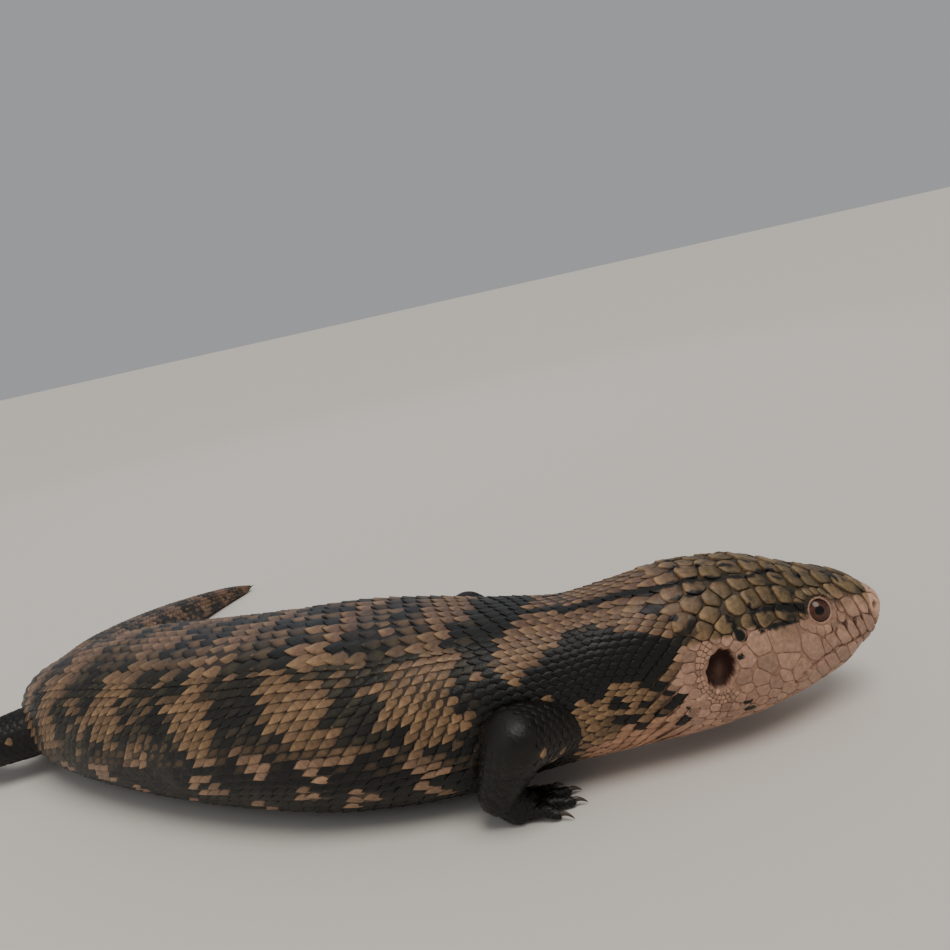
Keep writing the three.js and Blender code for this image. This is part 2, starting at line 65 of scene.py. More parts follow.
# Station: half width, height over the spine line, depth below it, lift of the underside.
SECTIONS = np.array([
    [0, 0, 0, 0, 13.4],
    [2, 6.1, 4.15, 5.0, 15.4],
    [6, 9.2, 6.9, 9.0, 12.8],
    [12, 11.8, 10.7, 12.7, 9.7],
    [20, 14.4, 14.0, 14.9, 7.3],
    [30, 17.4, 17.4, 17.1, 5.4],
    [42, 19.6, 20.2, 18.7, 4.5],
    [54, 18.8, 21.2, 19.6, 4.3],
    [66, 18.2, 20.4, 20.0, 4.3],
    [80, 19.8, 19.6, 19.6, 4.2],
    [92, 23.4, 21.0, 20.1, 3.2],
    [106, 28.0, 22.9, 21.4, 0.8],
    [122, 32.0, 24.1, 22.7, -0.8],
    [140, 34.4, 24.3, 23.5, -1.5],
    [165, 33.6, 23.4, 22.8, -1.5],
    [200, 31.2, 22.4, 21.6, -1.5],
    [225, 29.2, 21.6, 20.4, -1.5],
    [245, 26.2, 19.8, 18.4, -1.5],
    [260, 22.6, 17.8, 16.4, -1.5],
    [275, 19.2, 15.6, 14.6, -1.5],
    [290, 16.6, 13.8, 13.2, -1.4],
    [320, 13.8, 12.0, 11.8, -1.2],
    [360, 10.4, 9.3, 9.2, -1.0],
    [400, 6.6, 6.1, 6.0, -0.8],
    [430, 3.0, 2.9, 2.8, -0.5],
    [440, 0, 0, 0, 2.0],
])

# The front of the snout is one dome: up to SNOUT_HELD all sections face one way, up to SNOUT_LEVEL their
# middles are level, and the tip is pushed in by SNOUT_BLUNT.
SNOUT_HELD = 6
SNOUT_LEVEL = 4
SNOUT_BLUNT = 0.3
# How soon the distance over the surface of the snout's dome grows like the station.
SNOUT_ROUND = 4.0

# Station: heading of the spine in degrees, towards the snout, +X = 0.
HEADINGS = np.array([
    [0, 9], [50, 18], [90, -7], [150, -22], [200, -30],
    [250, -37], [285, -70], [340, -90], [400, -106], [440, -120],
], float)

# The eye looks sideways, leaning forward and upward by these degrees; proud is how far its lids stand out,
# and gaze is how many degrees the ball is turned to the rear.
EYE = {"station": 22.3, "angle": 21.3, "radius": 4.0, "sunk": 3.1, "half": (2.55, 2.68),
       "lean": 4.0, "rise": 20.0, "proud": 0.35, "gaze": 8.0}
EAR = {"station": 51.3, "angle": -0.2, "half": (3.4, 4.8), "depth": 3.4, "tilt": -21.0}
NOSTRIL = {"station": 4.6, "angle": 15.0, "radius": 0.72}
# The line of the mouth: station and distance round from the middle of the back.
MOUTH = np.array([
    [1.0, 8.5], [3.0, 13.5], [6.0, 17.5], [9.4, 21.0], [12.4, 23.3], [15.0, 25.0], [18.8, 26.4],
    [21.2, 28.5], [23.8, 30.2], [25.3, 31.8], [28.2, 34.1], [30.3, 36.9], [32.0, 38.0],
])

# Joints run from inside the body to the wrist or ankle, each with the radius of the flesh there.
# A toe is its spread from where the palm points, in degrees, and its length.
LIMBS = {
    "foreleg_right": {
        "joints": [[74, -30, 18, 8.6], [62.5, -46.5, 21.2, 8.0], [55.5, -44, 8, 5.0]],
        "palm": [59.5, -41.8, 3.2], "palm_radius": 5.2, "pointing": 22,
        "toes": [[46, 6.0], [25, 8.2], [6, 9.2], [-15, 8.6], [-40, 6.2]],
    },
    "foreleg_left": {
        "joints": [[64, -5, 20, 8.4], [50, 13.6, 33, 6.6], [45, 20.5, 11, 5.0]],
        "palm": [49, 23, 3.3], "palm_radius": 5.2, "pointing": 22,
        "toes": [[-46, 6.0], [-24, 8.2], [-2, 9.2], [20, 8.6], [46, 6.2]],
    },
    "hindleg_right": {
        "joints": [[-83, 42, 15.5, 9.8], [-110.5, 33, 13.5, 7.8], [-126.5, 45.5, 7.2, 5.3]],
        "palm": [-133.5, 50.5, 3.3], "palm_radius": 5.0, "pointing": 146,
        "toes": [[34, 5.6], [18, 7.8], [2, 10.0], [-14, 11.4], [-44, 7.0]],
    },
    "hindleg_left": {
        "joints": [[-74, 58, 15.5, 9.8], [-53, 79, 14.2, 7.8], [-65.5, 93.8, 7.0, 5.3]],
        "palm": [-62, 101, 3.3], "palm_radius": 5.0, "pointing": 58,
        "toes": [[-34, 5.6], [-18, 7.8], [-2, 10.0], [14, 11.4], [44, 7.0]],
    },
}
TOE_RADIUS = 2.1
CLAW_LENGTH = 3.0


# Smooth tables and the spine.

def smooth(table, column):
    """A monotone curve through one column; the square root of the distance opens out the blunt snout."""
    x = np.sqrt(table[:, 0])
    y = table[:, column]
    steps = np.diff(y) / np.diff(x)
    slope = np.empty(len(x))
    slope[0] = steps[0]
    slope[-1] = steps[-1]
    same_way = steps[:-1] * steps[1:] > 0
    total = np.where(same_way, steps[:-1] + steps[1:], 1)
    slope[1:-1] = np.where(same_way, 2 * steps[:-1] * steps[1:] / total, 0)

    def curve(station):
        q = np.sqrt(np.clip(station, 0, None))
        i = np.clip(np.searchsorted(x, q, side="right") - 1, 0, len(x) - 2)
        width = x[i + 1] - x[i]
        t = np.clip((q - x[i]) / width, 0, 1)
        t2 = t * t
        t3 = t2 * t
        return (
            (2 * t3 - 3 * t2 + 1) * y[i]
            + (t3 - 2 * t2 + t) * width * slope[i]
            + (3 * t2 - 2 * t3) * y[i + 1]
            + (t3 - t2) * width * slope[i + 1]
        )

    return curve


half_width, top_height, low_depth, lift = [smooth(SECTIONS, k) for k in (1, 2, 3, 4)]
heading = smooth(HEADINGS, 1)
SPINE_STEP = 0.5
# The spine's direction at a station is taken between points this far ahead of it and behind it.
SPINE_REACH = 2


def trace_spine():
    """Points of the spine from the snout to the tip of the tail."""
    count = int(BODY_LENGTH / SPINE_STEP) + 1
    station = np.arange(count) * SPINE_STEP
    turn = np.radians(heading(station[1:] - SPINE_STEP / 2))
    x = np.concatenate([[0], np.cumsum(-np.cos(turn) * SPINE_STEP)])
    y = np.concatenate([[0], np.cumsum(-np.sin(turn) * SPINE_STEP)])
    origin = int(ORIGIN_STATION / SPINE_STEP)
    z = lift(station) + low_depth(station)
    return np.stack([x - x[origin], y - y[origin], z], -1)


SPINE = trace_spine()


def spine_point(station):
    """The point of the spine at a station."""
    place = np.clip(np.asarray(station, float) / SPINE_STEP, 0, len(SPINE) - 1.001)
    i = place.astype(int)
    t = (place - i)[..., None]
    return SPINE[i] * (1 - t) + SPINE[i + 1] * t


def unit(v):
    """The same direction with length 1."""
    return v / np.maximum(np.linalg.norm(v, axis=-1, keepdims=True), 1e-12)


def facing(station):
    """Directions at a station: towards the snout, to the right and up."""
    forward = unit(spine_point(station - SPINE_REACH) - spine_point(station + SPINE_REACH))
    right = unit(np.cross(forward, [0.0, 0.0, 1.0]))
    return forward, right, np.cross(right, forward)


def section_point(station, angle):
    """A place of a section: distances to the right of the spine and over it."""
    turn = np.radians(angle)
    power = 2 / BOXINESS
    across = np.sign(np.cos(turn)) * np.abs(np.cos(turn)) ** power
    over = np.sign(np.sin(turn)) * np.abs(np.sin(turn)) ** power
    height = np.where(over > 0, top_height(station), low_depth(station))
    return across * half_width(station), over * height


def bare_point(station, angle):
    """A point of the solids' surface; angle 0 is the right flank, 90 the back, -90 the belly."""
    station = np.asarray(station, float)
    _, right, up = facing(np.maximum(station, SNOUT_HELD))
    across, over = section_point(station, angle)
    place = station + SNOUT_BLUNT * np.clip(1 - station / SNOUT_HELD, 0, 1) ** 2
    centre = spine_point(place)
    centre[..., 2] = spine_point(np.maximum(place, SNOUT_LEVEL))[..., 2]
    point = centre + right * across[..., None] + up * over[..., None]
    point[..., 2] = np.maximum(point[..., 2], 0)
    return point


def bare_normal(station, angle):
    """The direction straight out of the solids' surface, from points a little way round it."""
    along = 0.4
    turn = 1.5
    ahead = bare_point(np.maximum(station - along, 0.01), angle)
    behind = bare_point(station + along, angle)
    over = bare_point(station, angle + turn)
    under = bare_point(station, angle - turn)
    return unit(np.cross(ahead - behind, over - under))


# Distance round a section from the middle of the back, tabled against the angle.
ROUND_START = 0.1
ROUND_STATIONS = np.linspace(ROUND_START, math.sqrt(BODY_LENGTH), 700) ** 2
ROUND_ANGLES = np.linspace(90, -90, 181)


def trace_rounds():
    """Distances round at each station and angle, and the angles at even parts of the way round."""
    grid_s, grid_a = np.meshgrid(ROUND_STATIONS, ROUND_ANGLES, indexing="ij")
    x, y = section_point(grid_s, grid_a)
    steps = np.hypot(np.diff(x, axis=1), np.diff(y, axis=1))
    lengths = np.concatenate([np.zeros((len(x), 1)), np.cumsum(steps, axis=1)], axis=1)
    parts = np.linspace(0, 1, len(ROUND_ANGLES))
    angles = np.array([np.interp(parts * row[-1], row, ROUND_ANGLES) for row in lengths])
    return lengths, angles


ROUND_LENGTHS, ROUND_TABLE = trace_rounds()


def station_place(station):
    """The row of the tables at or before a station, and the part of the way to the next."""
    q = np.sqrt(np.clip(station, ROUND_STATIONS[0], ROUND_STATIONS[-1]))
    last = len(ROUND_STATIONS) - 1
    place = (q - ROUND_START) / (math.sqrt(BODY_LENGTH) - ROUND_START) * last
    i = np.clip(place.astype(int), 0, last - 1)
    return i, place - i


def half_round(station):
    """Distance from the middle of the back round to the middle of the belly."""
    i, t = station_place(np.asarray(station, float))
    return ROUND_LENGTHS[i, -1] * (1 - t) + ROUND_LENGTHS[i + 1, -1] * t


def angle_at(station, arc):
    """The angle of a place this far round from the back; below zero is the left side."""
    station = np.asarray(station, float)
    arc = np.asarray(arc, float)
    i, t = station_place(station)
    part = np.clip(np.abs(arc) / half_round(station), 0, 0.9999) * (ROUND_TABLE.shape[1] - 1)
    j = part.astype(int)
    u = part - j
    low = ROUND_TABLE[i, j] * (1 - u) + ROUND_TABLE[i, j + 1] * u
    high = ROUND_TABLE[i + 1, j] * (1 - u) + ROUND_TABLE[i + 1, j + 1] * u
    angle = low * (1 - t) + high * t
    return np.where(arc < 0, 180 - angle, angle)


def arc_at(station, angle):
    """Distance round from the back of one place; angles over 90 are on the left side."""
    left = angle > 90
    i, _ = station_place(np.array(float(station)))
    arc = np.interp(-(180 - angle if left else angle), -ROUND_ANGLES, ROUND_LENGTHS[i])
    return float(-arc if left else arc)


def arcs_at(station, angle):
    """Distances round from the back of many places, with angles from -90 to 270."""
    left = angle > 90
    fold = np.where(left, 180 - angle, angle)
    i, _ = station_place(np.asarray(station, float))
    part = np.clip((90 - fold) / 180, 0, 0.99999) * 180
    j = part.astype(int)
    arc = ROUND_LENGTHS[i, j] + (ROUND_LENGTHS[i, j + 1] - ROUND_LENGTHS[i, j]) * (part - j)
    return np.where(left, -arc, arc)


def surface_distance(station):
    """Distance from the tip of the snout over its surface, which sets the sizes of the head's shields."""
    return np.sqrt(np.asarray(station, float) ** 2 + 2 * SNOUT_ROUND * station)


def station_of(distance):
    """The station at a distance over the surface."""
    return np.sqrt(SNOUT_ROUND**2 + np.asarray(distance, float) ** 2) - SNOUT_ROUND


def waves(x, y, seed, count=7):
    """Smooth noise of about -1 to 1, with features about one unit across."""
    random = np.random.default_rng(seed)
    total = np.zeros(np.broadcast(x, y).shape)
    for _ in range(count):
        turn = random.uniform(0, math.tau)
        pitch = random.uniform(0.55, 1.5) * math.tau / 2
        total += np.sin(pitch * (np.cos(turn) * x + np.sin(turn) * y) + random.uniform(0, math.tau))
    return total / math.sqrt(count / 2) / 1.6


def step(low, high, value):
    """0 before low and 1 beyond high, with a smooth rise between; low may be the larger."""
    t = np.clip((value - low) / (high - low), 0, 1)
    return t * t * (3 - 2 * t)


# Colour values.

def linear(code):
    """An sRGB hex colour as linear RGBA."""
    channels = [int(code[i:i + 2], 16) / 255 for i in (1, 3, 5)]
    return [c / 12.92 if c <= 0.04045 else ((c + 0.055) / 1.055) ** 2.4 for c in channels] + [1.0]


def colour(name, description, code):
    """A colour property with an sRGB default."""
    return bpy.props.FloatVectorProperty(
        name=name, description=description, default=linear(code), size=4, subtype="COLOR", min=0, max=1
    )


def length(name, description, millimetres):
    """A length property with its default in mm."""
    return bpy.props.FloatProperty(
        name=name, description=description, default=millimetres * MM,
        unit="LENGTH", subtype="DISTANCE", min=0,
    )


class SkinkSizes(bpy.types.PropertyGroup):
    """Sizes of the skin and its scales."""

    coat_depth: length("Coat depth", "How far the skin lies inside the solids of the trunk", 0.5)
    head_depth: length("Head coat depth", "How far the skin lies inside the solids of the head", 0.2)
    scale_edge: length("Scale edge", "Height of a scale's free rear edge over the skin", 0.62)
    scale_root: length("Scale root", "Depth of a scale's root under the skin", 0.4)
    shield_height: length("Shield height", "Height of a head shield over the skin", 0.42)
    limb_scale: length("Limb scale", "Distance between scales of the legs", 2.5)
    limb_depth: length("Limb coat depth", "How far the skin lies inside the solids of the legs", 0.45)
    limb_mesh: length("Limb mesh", "Size of the faces of the legs' flesh before it joins the skin", 0.6)


class SkinkColours(bpy.types.PropertyGroup):
    """Colours of the skin and its scales."""

    black: colour("Black", "Ground colour of the flanks and legs", "#050504")
    grey: colour("Grey olive", "Ground colour of the upper flanks and the belly's edge", "#26231A")
    # Blue black is a painted sheen: a cool sky's reflection painted on the dark scales of the back.
    blue: colour("Blue black", "Ground colour of the back", "#10131B")
    tan: colour("Tan", "Pale scales of the flank", "#7A5E42")
    olive: colour("Olive", "Middle of the dark scales of the flank", "#453E2C")
    pink: colour("Pink brown", "Pale scales of the back", "#644A3C")
    # Cream is partly the pale scales' own lighter free edges and partly a painted highlight where edges catch
    # the light.
    cream: colour("Cream", "Free edges of the pale scales", "#AE8D66")
    face: colour("Face", "Cheeks, lips and throat", "#A6826D")
    nose: colour("Nose", "Palest skin, on the front of the snout and the lids", "#BF977E")
    salmon: colour("Salmon", "Underside of the neck", "#AC8166")
    crown: colour("Crown", "Shields on top of the head", "#665439")
    # Suture is dark skin between scales; it also paints shade on the scale fronts and in the gaps between
    # scales.
    suture: colour("Suture", "Dark skin between scales", "#0F0B08")
    seam: colour("Seam", "Skin between the plates of the face", "#926E5A")
    # Hollow is painted shade inside the ears and nostrils and in the slit of the mouth, and the brown of the
    # lip's notches.
    hollow: colour("Hollow", "Inside of the ears and nostrils", "#361C14")
    iris: colour("Iris", "Red brown iris", "#36140C")
    iris_light: colour("Light iris", "Flecks of the iris", "#5E3523")
    claw: colour("Claw", "Horn of the claws", "#3A3028")
    floor: colour("Floor", "Plain pale floor", "#DDD8D0")


def sizes():
    """The sizes in millimetres, the unit of all the shape functions."""
    group = bpy.context.scene.skink_sizes
    return {name: getattr(group, name) / MM for name in SkinkSizes.__annotations__}


def colours():
    """The colours as linear RGBA."""
    group = bpy.context.scene.skink_colours
    return {name: tuple(getattr(group, name)) for name in SkinkColours.__annotations__}


def coat_depth(station):
    """How far the skin lies inside the solids, in mm: less on the head."""
    size = sizes()
    return size["head_depth"] + (size["coat_depth"] - size["head_depth"]) * step(54, 68, station)


def skin_point(station, arc, height):
    """A point at a station, a distance round from the back and a height over the skin."""
    station = np.clip(station, 0.02, BODY_LENGTH - 0.3)
    angle = angle_at(station, arc)
    lifted = height - coat_depth(station)
    return bare_point(station, angle) + bare_normal(station, angle) * lifted[..., None]


# Meshes.

def new_object(name, points, quads, triangles, material, attributes=None, uvs=None):
    """A smooth mesh object from points in mm, with a value or a bake place for each point."""
    mesh = bpy.data.meshes.new(name)
    quads = np.asarray(quads, int).reshape(-1, 4)
    triangles = np.asarray(triangles, int).reshape(-1, 3)
    corners = np.concatenate([quads.ravel(), triangles.ravel()])
    mesh.vertices.add(len(points))
    mesh.vertices.foreach_set("co", (np.asarray(points) * MM).astype(np.float32).ravel())
    mesh.loops.add(len(corners))
    mesh.loops.foreach_set("vertex_index", corners.astype(np.int32))
    mesh.polygons.add(len(quads) + len(triangles))
    starts = np.concatenate([np.arange(len(quads)) * 4, len(quads) * 4 + np.arange(len(triangles)) * 3])
    mesh.polygons.foreach_set("loop_start", starts.astype(np.int32))
    mesh.polygons.foreach_set("use_smooth", np.ones(len(starts), bool))
    mesh.update(calc_edges=True)
    if mesh.validate():
        raise RuntimeError(f"the mesh of {name} wasn't valid")
    for key, values in (attributes or {}).items():
        layer = mesh.attributes.new(key, "FLOAT", "POINT")
        layer.data.foreach_set("value", np.asarray(values, np.float32).ravel())
    if uvs is not None:
        layer = mesh.uv_layers.new(name="OFBake")
        layer.data.foreach_set("uv", np.asarray(uvs)[corners].astype(np.float32).ravel())
    mesh.materials.append(material)
    made = bpy.data.objects.new(name, mesh)
    bpy.context.scene.collection.objects.link(made)
    return made


def add_piece(made, slot, *nodes):
    """Names the body a piece rides on and hides the nodes it takes the place of; the slot is not used."""
    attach(made, "root")
    if nodes:
        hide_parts(*nodes)


def applied(made):
    """Replaces an object's mesh by the result of its modifiers."""
    depsgraph = bpy.context.evaluated_depsgraph_get()
    mesh = bpy.data.meshes.new_from_object(made.evaluated_get(depsgraph))
    old = made.data
    made.modifiers.clear()
    made.data = mesh
    bpy.data.meshes.remove(old)


def removed(made):
    """Deletes an object with its mesh."""
    mesh = made.data
    bpy.data.objects.remove(made)
    bpy.data.meshes.remove(mesh)


def coordinates(mesh):
    """The points of a mesh in mm."""
    points = np.empty(len(mesh.vertices) * 3, np.float32)
    mesh.vertices.foreach_get("co", points)
    return points.reshape(-1, 3).astype(float) / MM


# Markings. Places are the station and the distance round from the middle of the back.

# Each band of pale scales: stations of its middle and half its length at these distances round.
BAND_ARCS = np.array([0, 8, 16, 20, 25, 30, 35, 40, 43, 47])
BANDS = [
    ([105, 105.5, 106.5, 106.5, 108, 109.5, 105, 109, 109, 109], [8, 7, 7, 6.5, 8, 9.5, 8.5, 4.5, 1, -6]),
    ([133, 134, 135, 134, 141, 137.5, 136.5, 133, 130.5, 130], [5, 6, 5.2, 6.5, 4.8, 8.5, 9, 8, 5.5, -3]),
    ([164.5, 166, 165, 165, 166.5, 167.5, 166, 165, 164, 163],
     [7.5, 7.5, 7.5, 5.2, 6.5, 8, 7.5, 6.5, 6, 5]),
    ([198, 199, 196, 197.5, 199, 201, 202.5, 200.5, 201, 201], [9, 9, 8, 5.8, 7, 8, 8.5, 6, 3, -6]),
    ([225, 228, 229, 231, 232, 233, 234, 233, 232, 232], [6, 8.5, 6, 8, 8, 5.6, 6.5, 5.5, -1, -6]),
    ([256, 256, 255, 254, 252, 249, 248, 247, 247, 247], [6, 6, 5, 5, 4.5, 3.5, 3, 2, -1, -6]),
]
TAIL_BANDS = (281, 304, 327, 350, 372, 393, 412, 429)
# Half the length of a band of the tail at parts of the way round from its back.
TAIL_BAND_HALVES = ([0, 0.25, 0.5, 0.72, 0.9], [5.2, 5.6, 4.6, 1.5, -4])
# Groups of pale scales low on the flank: station, distance round, size.
FLOWERS = [
    (110.5, 55.8, 2.6), (109.6, 46.8, 3.5), (123.8, 45.2, 1.4), (123.7, 57.7, 2.8), (131, 48.8, 3.6),
    (136, 57.3, 2.9), (129.6, 62, 1.3), (147.5, 47.7, 3.7), (164.6, 54, 4.6), (188.3, 43.9, 4.4),
    (209, 50.5, 4.6), (176, 62, 2.4), (231, 49, 3.4), (153, 63, 2.2), (197, 58, 2.6), (223, 58, 2.4),
]
# The dark patch over the shoulder: station, upper and lower edge round from the back.
SHOULDER = np.array([
    [55.0, 18.8, 23.2], [56.6, 19.4, 24.2], [57.5, 20.8, 24.8], [60.2, 21.2, 26.2], [62.0, 19.8, 31.0],
    [65.5, 18.5, 30.8], [69.8, 16.5, 29.8], [71.6, 14.2, 29.0], [75.5, 14.2, 31.5], [79.0, 14.8, 31.0],
    [80.5, 17.0, 34.0], [82.5, 17.5, 60], [84.0, 21.5, 60], [86.3, 23.2, 60], [89.0, 26.0, 60],
    [92.0, 24.6, 60], [93.4, 22.0, 60], [96.0, 26.0, 60], [99.0, 39.5, 60], [106, 41.0, 44],
])
# The front edge of the dark ground behind the neck: distances round, and the stations there.
NECK_REAR = ([0, 5.5, 7, 11, 17], [86.5, 85.8, 88, 88.5, 92])
# Pale islands and dark spots of the neck and head: station, distance round, half sizes along and round.
ISLANDS = [
    (65.4, 34.4, 5.6, 4.6), (70.8, 30.8, 2.2, 2.0), (76.4, 36.4, 3.3, 5.0), (80.8, 40.3, 1.1, 1.0),
    (87.6, 43.4, 1.7, 1.4), (85.4, 45.0, 1.6, 1.8), (84.4, 29.9, 1.2, 0.8),
]
SPOTS = [
    (60.0, 35.8, 1.2, 1.1), (61.7, 37.7, 0.7, 1.4), (59.4, 40.0, 0.8, 0.9), (59.8, 43.2, 0.8, 1.1),
    (65.0, 38.7, 1.4, 1.0), (68.4, 35.8, 1.6, 0.8), (71.4, 38.4, 3.8, 1.2), (67.4, 40.6, 1.9, 0.7),
    (71.8, 33.5, 1.6, 1.6), (63.5, 31.6, 1.5, 1.0), (66.6, 31.2, 1.2, 0.7), (62.0, 34.0, 0.8, 1.0),
    (45.8, 25.6, 1.25, 1.3), (46.7, 23.4, 0.7, 1.4), (47.6, 21.2, 0.6, 1.2), (46.6, 30.5, 0.9, 0.7),
    (45.2, 42.7, 1.2, 0.6), (44.2, 45.3, 1.5, 0.8), (53.0, 13.9, 2.2, 0.8), (56.6, 13.9, 1.6, 0.5),
    (62.0, 14.6, 0.9, 0.6), (58.6, 18.0, 0.6, 0.9), (23.8, 8.3, 0.9, 1.0), (13.0, 6.4, 0.45, 2.2),
    (42.0, 6.4, 1.6, 0.8), (52.4, 3.4, 0.6, 1.6), (47.6, 4.6, 0.8, 1.0), (36.0, 5.0, 1.8, 0.5),
    (28.6, 4.4, 2.4, 0.45), (18.6, 12.4, 0.5, 0.9), (33.0, 13.2, 1.6, 0.5), (30.5, 10.6, 1.4, 0.6),
]
# Brown notches between the plates of the upper lip: station and distance round.
NOTCHES = [(6.9, 12.9), (9.5, 16.3), (12.0, 18.0), (15.0, 19.6), (18.3, 22.0), (20.0, 21.6)]
# Thin dark lines along the head and neck: stations, distances round, half thicknesses.
LINES = [
    ([26.0, 28.5, 33, 36, 41.5], [18.3, 18.6, 19.2, 19.6, 20.9], [1.1, 1.3, 1.05, 0.8, 0.2]),
    ([29.2, 33, 37, 40.6], [21.9, 22.8, 24.0, 25.5], [0.25, 0.5, 0.55, 0.25]),
    ([30, 34, 38, 44, 50, 56, 60.5, 64, 68, 72, 77, 82, 86],
     [8.0, 8.8, 11.2, 11.3, 10.0, 9.6, 9.6, 8.8, 6.8, 6.8, 6.5, 5.0, 3.5],
     [0.7, 0.5, 0.5, 0.5, 0.8, 0.7, 0.8, 0.9, 1.5, 2.2, 1.3, 1.1, 0.8]),
]
# A thin dark line that runs down behind the temple: distances round, and the stations there.
TEMPLE_LINE = ([18.5, 21.0, 23.5, 25.5], [41.6, 42.0, 41.6, 40.4])
# The upper edge of the pale face and the width of its border: stations, and the values there.
FACE_EDGE = (
    [0, 4, 8, 14, 20, 26, 30, 41, 46, 49, 54, 58, 62],
    [6, 8.5, 12.2, 15, 16.6, 21, 22.6, 25.6, 25, 26, 25, 25, 33],
)
FACE_BORDER = ([5, 9, 24, 28], [0.5, 3.6, 3.6, 0.8])
# All marks that a point of the skin or a scale carries, each as a share from 0 to 1. The back's share is a
# painted blue sheen, and the hollows' share is painted shade, with the lip's brown notches.
MARK_NAMES = (
    "pale", "face", "nose", "salmon", "crown", "grey", "back", "pink", "spot", "ringed", "dark", "hollow",
)


def mirrored(arc):
    """The distance round on the right side, and whether the place is on the left."""
    return np.abs(arc), np.asarray(arc) < 0


def band_pale(station, arc, loose):
    """Pale bands and flowers of the trunk and tail; loose is noise that frays their edges."""
    border = 2.2
    fold, left = mirrored(arc)
    # The bands of the left side lie a little further on, by an amount that changes along the body.
    shift = np.where(left, (7.0 * np.sin(station / 23.0) + 5.0) * np.clip(fold / 18, 0, 1), 0.0)
    place = station + shift
    pale = np.full(np.shape(place), -1.0)
    for middles, halves in BANDS:
        middle = np.interp(fold, BAND_ARCS, middles)
        half = np.interp(fold, BAND_ARCS, halves)
        pale = np.maximum(pale, (half - 0.7 - np.abs(place - middle)) / border)
    pale = pale - 0.5 * np.maximum(fold - 46, 0)
    around = half_round(station)
    for middle in TAIL_BANDS:
        half = np.interp(fold / around, *TAIL_BAND_HALVES) * (1.25 - middle / 900)
        pale = np.maximum(pale, (half - np.abs(place - middle - 1.5 * np.sin(fold / 5))) / border)
    # Dark gaps break the bands of the back into islands.
    broken = step(0.15, 0.8, waves(place / 4.6, arc / 4.2, 37)) * step(32, 22, fold)
    pale = pale + 0.7 * loose - 1.5 * broken
    for middle, low, size in FLOWERS:
        # Each flower is ringed by dark scales, and the large ones have a dark heart.
        away = np.hypot(place - middle, (fold - low) * 1.15)
        pale = np.where((away > size) & (away < size + 2.2), -1, pale)
        pale = np.maximum(pale, (size + 0.5 - away) / 1.2 + 0.15 * loose)
        pale = np.where((away < 0.34 * size) & (size > 3), -1, pale)
    return pale


def neck_pale(station, arc, loose):
    """Ahead of the shoulder all is pale but for the dark patch round the arm and its spots."""
    fold, left = mirrored(arc)
    place = station + np.where(left, 1.4, 0.0)
    upper = np.interp(place, SHOULDER[:, 0], SHOULDER[:, 1])
    lower = np.interp(place, SHOULDER[:, 0], SHOULDER[:, 2])
    inside = np.minimum(fold - upper, lower - fold) / 1.3 + 0.3 * loose
    inside = np.where((place < SHOULDER[0, 0]) | (place > SHOULDER[-1, 0]), -1, inside)
    for middle, round_at, long, wide in ISLANDS:
        away = np.hypot((place - middle) / long, (fold - round_at) / wide)
        inside = np.where(away < 1 + 0.12 * loose, -1, inside)
    # Behind the pale neck the ground is dark down to the first band.
    dark_rear = (place - np.interp(fold, *NECK_REAR)) / 1.5 + 0.4 * loose
    dark_rear = np.where((fold < 24) & (place < 99), dark_rear, -1)
    return -np.maximum(inside, dark_rear)


def dark_marks(station, arc, loose):
    """Spots and thin lines of the head and neck."""
    fold, left = mirrored(arc)
    place = station + np.where(left, 0.8, 0.0)
    dark = np.zeros(np.shape(place))
    for middle, round_at, long, wide in SPOTS:
        away = np.hypot((place - middle) / long, (fold - round_at) / wide)
        dark = np.maximum(dark, step(1.2, 0.85, away + 0.12 * loose))
    for stations, arcs, halves in LINES:
        half = np.interp(place, stations, halves)
        away = np.abs(fold - np.interp(place, stations, arcs)) + 0.15 * loose
        near = step(half + 0.25, half - 0.15, away) * ((place > stations[0]) & (place < stations[-1]))
        dark = np.maximum(dark, near)
    arcs = TEMPLE_LINE[0]
    away = np.abs(place - np.interp(fold, *TEMPLE_LINE))
    return np.maximum(dark, step(0.55, 0.25, away) * ((fold > arcs[0]) & (fold < arcs[-1])))


def face_marks(station, fold, loose):
    """Shares of the pale face, the palest nose and the brown crown."""
    # The pale face reaches back round the ear; the brown of the crown lies above it.
    over = fold - np.interp(station, *FACE_EDGE) + 0.7 * loose
    border = np.interp(station, *FACE_BORDER)
    face = step(-border, 0.4 * border, over) * step(64, 60, station)
    crown = step(0.8, -0.8, over) * step(62, 46, station)
    crown = np.where(station < 26, 1 - face, crown)
    # The front of the snout is pale up to its top; the largest plate of the cheek is shaded brown.
    nose = step(0.25, -0.25, station - 5.2 - 0.12 * fold) * step(13, 10.5, fold)
    shaded = 0.6 * np.exp(-(((station - 34) / 4) ** 2) - ((fold - 24.4) / 2.3) ** 2)
    face = np.maximum(np.minimum(face, 1 - shaded), nose)
    crown = np.minimum(np.maximum(crown, shaded), 1 - nose)
    return face, nose, crown


